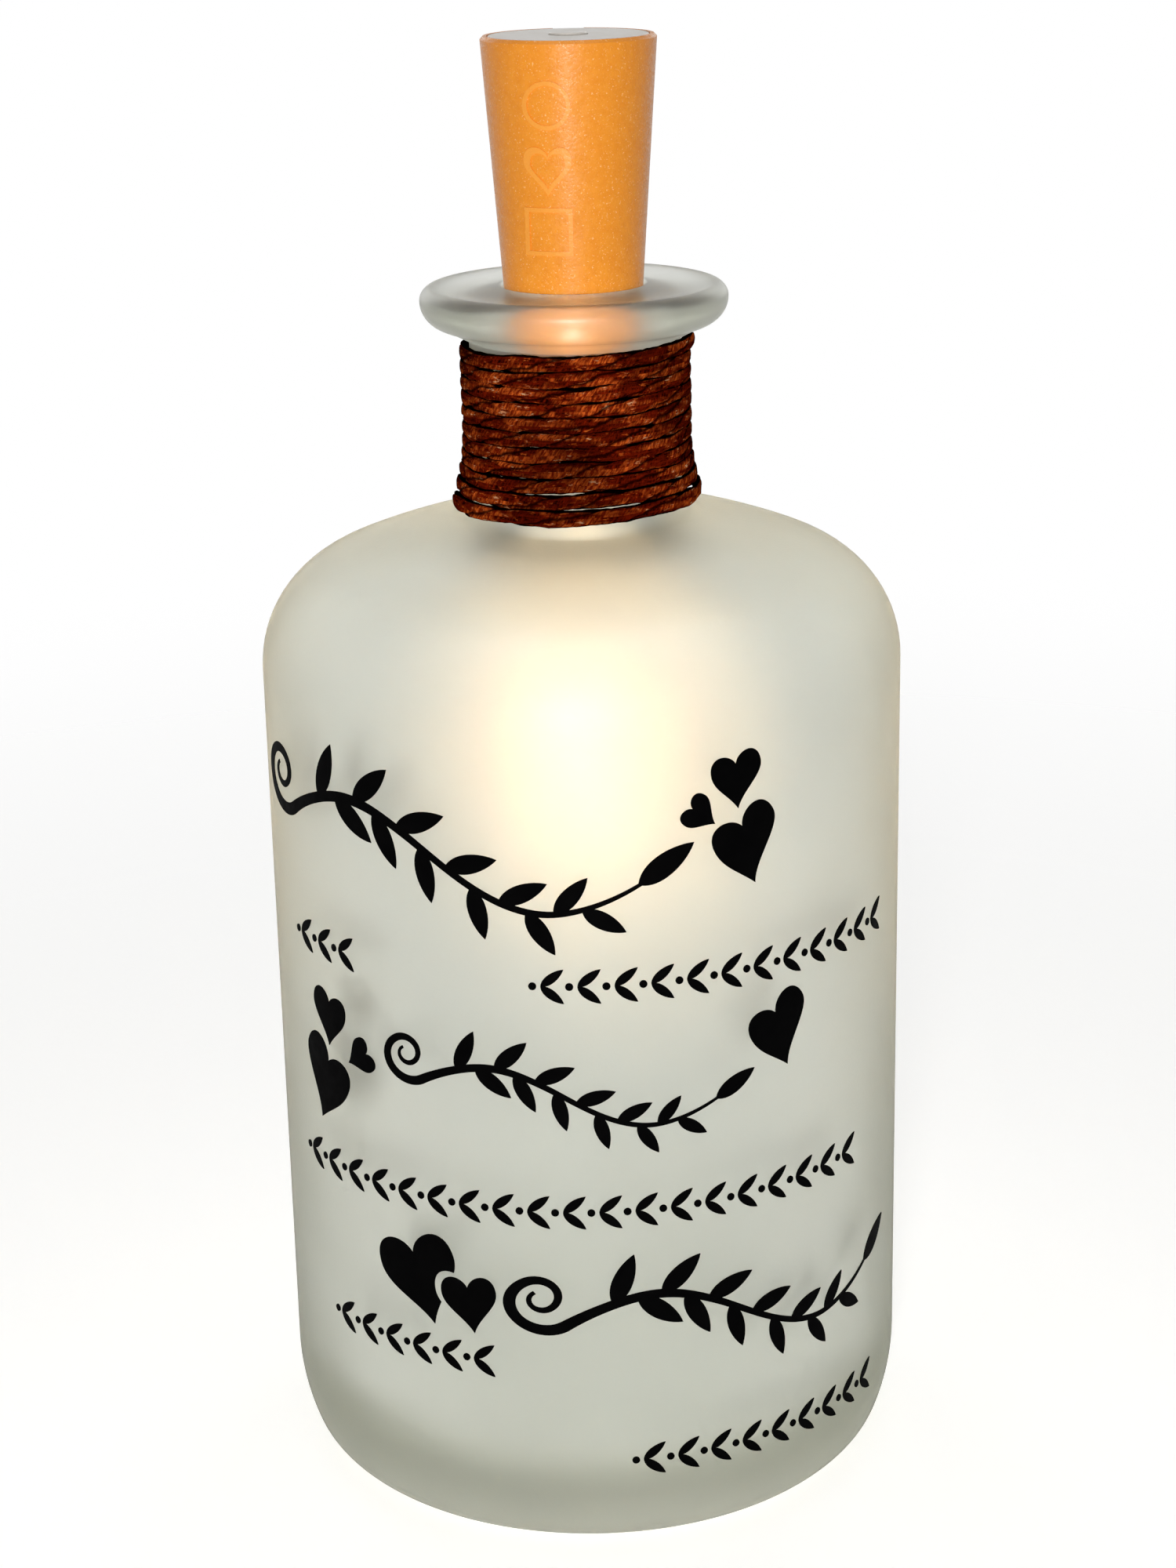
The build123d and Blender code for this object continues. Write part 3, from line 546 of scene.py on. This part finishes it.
def mottle_group():
    """An uneven value between Low and High that changes over the surface."""
    tree, source, sink = new_group(
        "mottle", [("Scale", 200), ("Detail", 3), ("Low", 0), ("High", 1)], [("Value", "NodeSocketFloat")]
    )
    place = add(tree, "ShaderNodeTexCoord")
    noise = add(tree, "ShaderNodeTexNoise", {
        "Vector": place.outputs["Object"],
        "Scale": source.outputs["Scale"], "Detail": source.outputs["Detail"],
    })
    spread = add(tree, "ShaderNodeMapRange", {
        "Value": noise.outputs["Fac"], "From Min": 0.3, "From Max": 0.7,
        "To Min": source.outputs["Low"], "To Max": source.outputs["High"],
    })
    tree.links.new(spread.outputs["Result"], sink.inputs["Value"])
    return tree


def grain_group():
    """A fine raised grain over slow waves, as a normal."""
    tree, source, sink = new_group(
        "grain",
        [("Grain scale", 3000), ("Grain depth", 0.00002), ("Wave scale", 60), ("Wave depth", 0.0001)],
        [("Normal", "NodeSocketVector")],
    )
    place = add(tree, "ShaderNodeTexCoord")
    fine = add(tree, "ShaderNodeTexNoise", {
        "Vector": place.outputs["Object"], "Scale": source.outputs["Grain scale"], "Detail": 2.0,
    })
    slow = add(tree, "ShaderNodeTexNoise", {
        "Vector": place.outputs["Object"], "Scale": source.outputs["Wave scale"], "Detail": 1.0,
    })
    waves = add(tree, "ShaderNodeBump", {
        "Height": slow.outputs["Fac"], "Distance": source.outputs["Wave depth"], "Strength": 1.0,
    })
    raised = add(tree, "ShaderNodeBump", {
        "Height": fine.outputs["Fac"], "Distance": source.outputs["Grain depth"],
        "Normal": waves.outputs["Normal"], "Strength": 1.0,
    })
    tree.links.new(raised.outputs["Normal"], sink.inputs["Normal"])
    return tree


GROUPS = {"mottle": mottle_group(), "grain": grain_group()}


def mottle(tree, scale, detail, low=0, high=1):
    """The shared mottle, with its own values."""
    values = {"Scale": scale, "Detail": detail, "Low": low, "High": high}
    return add(tree, "ShaderNodeGroup", values, node_tree=GROUPS["mottle"]).outputs["Value"]


def grain(tree, scale, depth, wave_scale, wave_depth):
    """The shared grain, with its own values and its depths in millimetres."""
    values = {
        "Grain scale": scale, "Grain depth": depth * MM,
        "Wave scale": wave_scale, "Wave depth": wave_depth * MM,
    }
    return add(tree, "ShaderNodeGroup", values, node_tree=GROUPS["grain"]).outputs["Normal"]


def start_material(name, sockets=None):
    """A material with one shader, whose sockets that are the same all over are set here."""
    material = bpy.data.materials.new(name)
    material.use_nodes = True
    tree = material.node_tree
    tree.nodes.clear()
    shader = add(tree, "ShaderNodeBsdfPrincipled", sockets)
    result = add(tree, "ShaderNodeOutputMaterial")
    tree.links.new(shader.outputs["BSDF"], result.inputs["Surface"])
    return material, tree, shader


def link_surface(tree, shader, color, roughness, normal):
    """Links the three sockets that change over every surface."""
    tree.links.new(color, shader.inputs["Base Color"])
    tree.links.new(roughness, shader.inputs["Roughness"])
    tree.links.new(normal, shader.inputs["Normal"])


def blended(tree, mask, first, second):
    """The first colour where the mask is 0 and the second where it is 1."""
    mix = add(tree, "ShaderNodeMix", {"Factor": mask}, data_type="RGBA")
    for index, color in ((6, first), (7, second)):
        if isinstance(color, bpy.types.NodeSocket):
            tree.links.new(color, mix.inputs[index])
        else:
            mix.inputs[index].default_value = (*color, 1)
    return mix.outputs[2]


# Plain finishes: a finish's two close colours, its range of roughness, its spots per metre, and its
# grain as spots per metre and depth in millimetres, first fine and then in slow waves

METAL = {"Metallic": 1.0}
ROUGHNESS_FINER = 2.7
PLAIN_FINISHES = {
    "black_vinyl": {
        "colors": ((0.0004, 0.0004, 0.0005), (0.0012, 0.0012, 0.0013)), "roughness": (0.5, 0.64),
        "spots": 260, "grain_values": (2200, 0.004, 180, 0.012), "sockets": {"Specular IOR Level": 0.01},
    },
    "pale_plastic": {
        "colors": ((0.90, 0.85, 0.78), (0.94, 0.90, 0.84)), "roughness": (0.32, 0.46),
        "spots": 140, "grain_values": (3000, 0.015, 250, 0.02),
    },
    "black_plastic": {
        "colors": ((0.016, 0.016, 0.017), (0.028, 0.028, 0.03)), "roughness": (0.4, 0.55),
        "spots": 200, "grain_values": (2600, 0.015, 250, 0.02),
    },
    "black_rubber": {
        "colors": ((0.014, 0.014, 0.014), (0.026, 0.025, 0.024)), "roughness": (0.55, 0.7),
        "spots": 200, "grain_values": (3000, 0.02, 300, 0.03),
    },
    "cell_steel": {
        "colors": ((0.55, 0.55, 0.56), (0.68, 0.68, 0.69)), "roughness": (0.18, 0.34),
        "spots": 180, "grain_values": (2600, 0.004, 120, 0.01), "sockets": METAL,
    },
    "contact_brass": {
        "colors": ((0.62, 0.42, 0.16), (0.78, 0.58, 0.26)), "roughness": (0.2, 0.36),
        "spots": 220, "grain_values": (2600, 0.004, 160, 0.01), "sockets": METAL,
    },
    "board_green": {
        "colors": ((0.012, 0.085, 0.028), (0.022, 0.13, 0.045)), "roughness": (0.3, 0.42),
        "spots": 300, "grain_values": (2000, 0.006, 300, 0.01),
    },
    "black_chip": {
        "colors": ((0.018, 0.018, 0.018), (0.035, 0.034, 0.034)), "roughness": (0.34, 0.48),
        "spots": 400, "grain_values": (2600, 0.006, 300, 0.01),
    },
    "spring_steel": {
        "colors": ((0.58, 0.58, 0.60), (0.70, 0.70, 0.72)), "roughness": (0.14, 0.26),
        "spots": 300, "grain_values": (2600, 0.003, 200, 0.005), "sockets": METAL,
    },
}


def plain_finish(name, colors, roughness, spots, grain_values, sockets=None):
    """A moulded, plated or printed finish: two close colours, uneven roughness and a fine grain."""
    material, tree, shader = start_material(name, sockets)
    color = blended(tree, mottle(tree, spots, 4), *colors)
    rough = mottle(tree, spots * ROUGHNESS_FINER, 3, *roughness)
    link_surface(tree, shader, color, rough, grain(tree, *grain_values))
    return material


# Waxed cord's finish: masks of noise with so many spots per millimetre along the cord and across it

CORD_MASKS = {
    "wrinkles": {"per_mm": (3.4, 0.8), "detail": 4.0, "roughness": 0.62, "low": 0.42, "high": 0.60},
    "threads": {"per_mm": (0.4, 3.6), "detail": 4.0, "roughness": 0.6, "low": 0.42, "high": 0.60},
    "blotches": {"per_mm": (0.14, 0.45), "detail": 3.0, "roughness": 0.6, "low": 0.47, "high": 0.57},
    # Sparse spots for painted glints.
    "painted_glints": {"per_mm": (0.6, 2.0), "detail": 3.0, "roughness": 0.66, "low": 0.60, "high": 0.69},
    "unevenness": {"per_mm": (0.07, 0.3), "detail": 2.0, "roughness": 0.5, "low": 0.35, "high": 0.65},
}
WRINKLE_TILT = -38
FACE_EDGE_FROM = 0.34
FACE_EDGE_TO = 0.62
FACE_EDGE_WIDTH = 0.24


def cord_mask(tree, place, name, tilt=0.0):
    """One of the masks, from 0 to 1, tilted by degrees."""
    values = CORD_MASKS[name]
    along, across = values["per_mm"]
    spot = add(tree, "ShaderNodeMapping", {
        "Vector": place, "Rotation": (0, 0, math.radians(tilt)), "Scale": (1 / along, 1 / across, 1),
    }, vector_type="TEXTURE")
    speckle = add(tree, "ShaderNodeTexNoise", {
        "Vector": spot.outputs["Vector"], "Scale": 1.0,
        "Detail": values["detail"], "Roughness": values["roughness"],
    })
    spread = add(tree, "ShaderNodeMapRange", {
        "Value": speckle.outputs["Fac"], "From Min": values["low"], "From Max": values["high"],
    })
    return spread.outputs["Result"]


def cord_face(tree, place):
    """1 where the cord faces outward and 0 in the gaps between turns, with an uneven edge: the mask of the
    painted shade in the gaps.
    """
    across = add(tree, "ShaderNodeSeparateXYZ", {"Vector": place})
    round_turn = arithmetic(tree, "MULTIPLY", across.outputs["Y"], 2 * math.pi / CORD_ROUND)
    outward = arithmetic(tree, "COSINE", round_turn)
    lower = add(tree, "ShaderNodeMapRange", {
        "Value": cord_mask(tree, place, "unevenness"), "To Min": FACE_EDGE_FROM, "To Max": FACE_EDGE_TO,
    })
    upper = arithmetic(tree, "ADD", lower.outputs["Result"], FACE_EDGE_WIDTH)
    face = add(tree, "ShaderNodeMapRange", {
        "Value": outward, "From Min": lower.outputs["Result"], "From Max": upper,
    }, interpolation_type="SMOOTHSTEP")
    return face.outputs["Result"]


def waxed_cord_material():
    """Dark brown waxed paper cord: slanting wrinkles, threads, random darker patches, painted glints, and
    painted shade in the creases and in the gaps between turns.
    """
    material, tree, shader = start_material("waxed_cord", {"Specular IOR Level": 0.0})
    place = add(tree, "ShaderNodeTexCoord").outputs["UV"]
    wrinkles = cord_mask(tree, place, "wrinkles", tilt=WRINKLE_TILT)
    threads = cord_mask(tree, place, "threads")
    blotches = cord_mask(tree, place, "blotches")
    # Painted glints: sparse pale flecks over the cord.
    painted_glints = cord_mask(tree, place, "painted_glints")
    # Near-black painted shade for the gaps between turns.
    painted_hollow_shade = (0.0012, 0.0001, 0.0001)
    # Dark tone of the cord, also used as painted shade along the creases.
    dark_tone_and_shade = (0.009, 0.0002, 0.0001)
    brown = (0.185, 0.0110, 0.0014)
    warm = (0.800, 0.1400, 0.0200)
    # Colour of the painted glints.
    painted_glint_color = (0.98, 0.560, 0.290)
    body = blended(tree, wrinkles, dark_tone_and_shade, brown)
    body = blended(tree, threads, body, brown)
    body = blended(tree, blotches, body, blended(tree, wrinkles, brown, warm))
    body = blended(tree, painted_glints, body, blended(tree, blotches, warm, painted_glint_color))
    # Darker in random patches a few turns wide.
    random_dark_patches = mottle(tree, scale=75, detail=3, high=0.8)
    body = blended(tree, random_dark_patches, body, dark_tone_and_shade)
    # Painted shade along the creases where the two plies meet.
    crease = add(tree, "ShaderNodeAttribute", attribute_name="crease")
    painted_crease_shade = add(tree, "ShaderNodeMapRange", {
        "Value": crease.outputs["Fac"], "From Min": 0.25, "From Max": 0.85, "To Max": 0.9,
    })
    body = blended(tree, painted_crease_shade.outputs["Result"], body, dark_tone_and_shade)
    # Painted shade: where the cord turns away into the gaps between turns, it goes near black.
    color = blended(tree, cord_face(tree, place), painted_hollow_shade, body)
    deep = add(tree, "ShaderNodeBump", {"Height": wrinkles, "Distance": 0.16 * MM, "Strength": 1.0})
    fine = add(tree, "ShaderNodeBump", {
        "Height": threads, "Distance": 0.08 * MM, "Strength": 1.0, "Normal": deep.outputs["Normal"],
    })
    rough = mottle(tree, scale=900, detail=3, low=0.26, high=0.46)
    link_surface(tree, shader, color, rough, fine.outputs["Normal"])
    return material


# Wire and lamps

LAMP_GLOW = 37


def wire_material():
    """Enamelled copper: two fine wires laid together show as slanting lines."""
    material, tree, shader = start_material("enamelled_copper", {"Metallic": 1.0})
    place = add(tree, "ShaderNodeTexCoord")
    lay = add(tree, "ShaderNodeMapping", {"Vector": place.outputs["UV"], "Scale": (400, 1, 1)})
    lines = add(tree, "ShaderNodeTexWave", {
        "Vector": lay.outputs["Vector"], "Scale": 1.0, "Distortion": 0.3,
    }, bands_direction="DIAGONAL")
    color = blended(tree, lines.outputs["Fac"], (0.36, 0.13, 0.05), (0.72, 0.33, 0.15))
    raised = add(tree, "ShaderNodeBump", {
        "Height": lines.outputs["Fac"], "Distance": 0.05 * MM, "Strength": 1.0,
    })
    rough = mottle(tree, scale=1500, detail=2, low=0.22, high=0.4)
    link_surface(tree, shader, color, rough, raised.outputs["Normal"])
    return material


def glowing_material(name, color, warm, roughness):
    """Resin or chip that gives its own warm light, a little brighter in patches."""
    material, tree, shader = start_material(name, {"Emission Strength": LAMP_GLOW})
    mask = mottle(tree, scale=1200, detail=2)
    tree.links.new(blended(tree, mask, warm, color), shader.inputs["Emission Color"])
    rough = mottle(tree, 900, 2, *roughness)
    bump = grain(tree, scale=2500, depth=0.01, wave_scale=500, wave_depth=0.05)
    link_surface(tree, shader, blended(tree, mask, color, warm), rough, bump)
    return material


# Stopper's finish, worked out from the radius where it meets the mouth and its widening per millimetre

STOPPER_RADIUS = 9.016
STOPPER_SLOPE = 0.07
MARK_FOOT = 0.03
MARK_TOP = 0.11


def raised_mark_highlight_mask(tree, place):
    """1 on what stands up from the stopper's taper and 0 on the taper itself."""
    parts = add(tree, "ShaderNodeSeparateXYZ", {"Vector": place})
    flat = add(tree, "ShaderNodeVectorMath", {0: place, 1: (1, 1, 0)}, operation="MULTIPLY")
    radius = add(tree, "ShaderNodeVectorMath", {0: flat.outputs["Vector"]}, operation="LENGTH")
    foot_radius = (STOPPER_RADIUS - STOPPER_SLOPE * MOUTH_HEIGHT) * MM
    taper = arithmetic(tree, "MULTIPLY_ADD", parts.outputs["Z"], STOPPER_SLOPE, foot_radius)
    proud = arithmetic(tree, "SUBTRACT", radius.outputs["Value"], taper)
    raised = add(tree, "ShaderNodeMapRange", {
        "Value": proud, "From Min": MARK_FOOT * MM, "From Max": MARK_TOP * MM,
    })
    return raised.outputs["Result"]


def stopper_material():
    """Satin moulded plastic with a fine grain that sparkles, painted sparkles of pale colour, and a painted
    highlight that makes the raised marks a little paler on top.
    """
    material, tree, shader = start_material("tan_plastic", {
        "Specular IOR Level": 0.26, "Subsurface Weight": 0.06,
        "Subsurface Radius": (0.0010, 0.0004, 0.0002), "Subsurface Scale": 1.0,
    })
    body = blended(
        tree, mottle(tree, scale=900, detail=4), (0.78, 0.262, 0.017), (0.83, 0.300, 0.026),
    )
    place = add(tree, "ShaderNodeTexCoord").outputs["Object"]
    # Painted sparkle: small pale spots standing in for glints.
    painted_sparkle_noise = add(tree, "ShaderNodeTexNoise", {
        "Vector": place, "Scale": 4200.0, "Detail": 2.0, "Roughness": 0.6,
    })
    painted_sparkle_spots = add(tree, "ShaderNodeMapRange", {
        "Value": painted_sparkle_noise.outputs["Fac"], "From Min": 0.62, "From Max": 0.72,
    })
    body = blended(tree, painted_sparkle_spots.outputs["Result"], body, (1.0, 0.56, 0.24))
    # Painted highlight: the raised marks are paler on top, which shows their relief.
    color = blended(tree, raised_mark_highlight_mask(tree, place), body, (0.86, 0.338, 0.046))
    rough = mottle(tree, scale=2600, detail=3, low=0.22, high=0.52)
    bump = grain(tree, scale=2600, depth=0.034, wave_scale=500, wave_depth=0.02)
    link_surface(tree, shader, color, rough, bump)
    return material


# Glass


def lamp_light_passes(tree, shader, etched):
    """The glass's surface, whose clear inside lets the light of the lamps straight through."""
    clear = arithmetic(tree, "SUBTRACT", 1.0, etched)
    path = add(tree, "ShaderNodeLightPath")
    passes = arithmetic(tree, "MULTIPLY", path.outputs["Is Shadow Ray"], clear)
    see_through = add(tree, "ShaderNodeBsdfTransparent")
    shown = add(tree, "ShaderNodeMixShader", {
        0: passes, 1: shader.outputs["BSDF"], 2: see_through.outputs[0],
    })
    return shown.outputs[0]


def glass_material():
    """Soda glass, slightly grey-green in its depth, etched on the outside and clear on the inside."""
    material, tree, shader = start_material("frosted_glass", {"Transmission Weight": 0.93, "IOR": 1.48})
    etched = add(tree, "ShaderNodeAttribute", attribute_name="etched").outputs["Fac"]
    tone = mottle(tree, scale=35, detail=4)
    frost = mottle(tree, scale=90, detail=4, low=0.78, high=0.88)
    etched_color = blended(tree, tone, (0.835, 0.852, 0.830), (0.885, 0.902, 0.880))
    color = blended(tree, etched, (0.89, 0.905, 0.89), etched_color)
    rough = add(tree, "ShaderNodeMapRange", {"Value": etched, "To Min": 0.08, "To Max": frost})
    bump = grain(tree, scale=2600, depth=0.012, wave_scale=45, wave_depth=0.25)
    link_surface(tree, shader, color, rough.outputs["Result"], bump)
    depth = add(tree, "ShaderNodeVolumeAbsorption", {"Color": (0.62, 0.625, 0.535, 1), "Density": 68.0})
    result = shader.outputs["BSDF"].links[0].to_node
    tree.links.new(depth.outputs[0], result.inputs["Volume"])
    tree.links.new(lamp_light_passes(tree, shader, etched), result.inputs["Surface"])
    return material


# All materials


def make_materials():
    """A material for each slot of the record, by the slot's name."""
    materials = {name: plain_finish(name, **values) for name, values in PLAIN_FINISHES.items()}
    materials["frosted_glass"] = glass_material()
    materials["tan_plastic"] = stopper_material()
    materials["waxed_cord"] = waxed_cord_material()
    materials["copper_wire"] = wire_material()
    materials["lamp_resin"] = glowing_material(
        "lamp_resin", (1.0, 0.75, 0.43), (1.0, 0.68, 0.35), roughness=(0.12, 0.22),
    )
    materials["chip_yellow"] = glowing_material(
        "chip_yellow", (1.0, 0.72, 0.32), (1.0, 0.63, 0.22), roughness=(0.2, 0.3),
    )
    return materials


def dress_cad_nodes(materials):
    """Each CAD node gets the finish of its slot in the record."""
    slots = {row["node"]: row["material_slot"] for row in frame["record"]["subparts"]}
    for name, piece in nodes.items():
        piece.data.materials.clear()
        piece.data.materials.append(materials[slots[name]])


# Floor, backdrop and lights, in metres and watts

FLOOR_RINGS = [0.02, 0.06, 0.1, 0.16, 0.24, 0.36, 0.55, 0.9]
FLOOR_SIDES = 96
FLOOR_DROP = 0.00002
LIT_PLACE = (0, 0, 0.11)
LIGHTS = [
    {
        "name": "key",
        "place": (-0.03, -0.62, 0.17), "size": 0.10, "power": 3.5, "color": (1, 0.98, 0.95),
    },
    {
        "name": "left_back",
        "place": (-0.38, 0.62, 0.36), "size": 0.45, "power": 0.6, "color": (0.97, 0.98, 1),
    },
    {
        "name": "right_back",
        "place": (0.38, 0.62, 0.36), "size": 0.45, "power": 0.6, "color": (0.97, 1, 0.98),
    },
    {
        "name": "overhead",
        "place": (0, 0.05, 0.85), "size": 0.50, "power": 1.1, "color": (1, 0.99, 0.98),
    },
]


def seen_mask(tree):
    """1 for rays that look straight, mirrored or through glass at the background, otherwise 0."""
    path = add(tree, "ShaderNodeLightPath")
    seen = arithmetic(tree, "MAXIMUM", path.outputs["Is Camera Ray"], path.outputs["Is Glossy Ray"])
    return arithmetic(tree, "MAXIMUM", seen, path.outputs["Is Transmission Ray"])


def backdrop():
    """A white background that gives the object only a dim even light of its own."""
    world = bpy.data.worlds.new("studio")
    bpy.context.scene.world = world
    world.use_nodes = True
    tree = world.node_tree
    tree.nodes.clear()
    ambient = add(tree, "ShaderNodeBackground", {"Color": (1, 0.985, 0.965, 1), "Strength": 0.10})
    seen = add(tree, "ShaderNodeBackground", {"Color": (1, 1, 1, 1), "Strength": 1.0})
    mix = add(tree, "ShaderNodeMixShader", {0: seen_mask(tree), 1: ambient.outputs[0], 2: seen.outputs[0]})
    result = add(tree, "ShaderNodeOutputWorld")
    tree.links.new(mix.outputs[0], result.inputs["Surface"])


def floor_paper():
    """Pale paper that keeps the object's shadow and fades into the backdrop further out."""
    material = bpy.data.materials.new("floor_paper")
    material.use_nodes = True
    tree = material.node_tree
    tree.nodes.clear()
    paper = add(tree, "ShaderNodeBsdfDiffuse", {"Color": (0.80, 0.80, 0.79, 1)})
    lift = add(tree, "ShaderNodeEmission", {"Color": (1, 1, 1, 1), "Strength": 0.55})
    lifted = add(tree, "ShaderNodeAddShader", {0: paper.outputs[0], 1: lift.outputs[0]})
    surface = add(tree, "ShaderNodeMixShader", {
        0: seen_mask(tree), 1: paper.outputs[0], 2: lifted.outputs[0],
    })
    away = add(tree, "ShaderNodeBsdfTransparent")
    place = add(tree, "ShaderNodeTexCoord")
    reach = add(tree, "ShaderNodeVectorMath", {0: place.outputs["Object"]}, operation="LENGTH")
    fade = add(tree, "ShaderNodeMapRange", {
        "Value": reach.outputs["Value"], "From Min": 0.12, "From Max": 0.5,
    }, interpolation_type="SMOOTHSTEP")
    mix = add(tree, "ShaderNodeMixShader", {
        0: fade.outputs["Result"], 1: surface.outputs[0], 2: away.outputs[0],
    })
    result = add(tree, "ShaderNodeOutputMaterial")
    tree.links.new(mix.outputs[0], result.inputs["Surface"])
    return material


def floor():
    """A round flat floor, a hair below the bottle."""
    points = [(0, 0, 0)]
    for radius in FLOOR_RINGS:
        for side in range(FLOOR_SIDES):
            turn = 2 * math.pi * side / FLOOR_SIDES
            points.append((radius * math.cos(turn), radius * math.sin(turn), 0))
    faces = [(0, 1 + side, 1 + (side + 1) % FLOOR_SIDES) for side in range(FLOOR_SIDES)]
    for first, second, third, fourth in ring_faces(len(FLOOR_RINGS), FLOOR_SIDES, first=1):
        faces.append((first, fourth, third, second))
    mesh = bpy.data.meshes.new("floor")
    mesh.from_pydata(points, [], faces)
    mesh.update()
    mesh.materials.append(floor_paper())
    plate = place_object("floor", mesh)
    plate.location.z = -FLOOR_DROP


def area_light(name, place, size, power, color):
    """A round lamp that faces the middle of the bottle."""
    data = bpy.data.lights.new(name, "AREA")
    data.shape = "DISK"
    data.size = size
    data.energy = power
    data.color = color
    lamp = place_object(name, data)
    lamp.location = place
    lamp.rotation_mode = "QUATERNION"
    lamp.rotation_quaternion = (Vector(LIT_PLACE) - Vector(place)).to_track_quat("-Z", "Y")


place_camera()
wire = light_string()
materials = make_materials()
dress_cad_nodes(materials)
wire.data.materials.append(materials["copper_wire"])
glass_bottle(materials["frosted_glass"])
neck_cord(materials["waxed_cord"])
button_spring(materials["spring_steel"])
floor()
backdrop()
for light in LIGHTS:
    area_light(**light)
bpy.context.scene.view_settings.view_transform = "Standard"
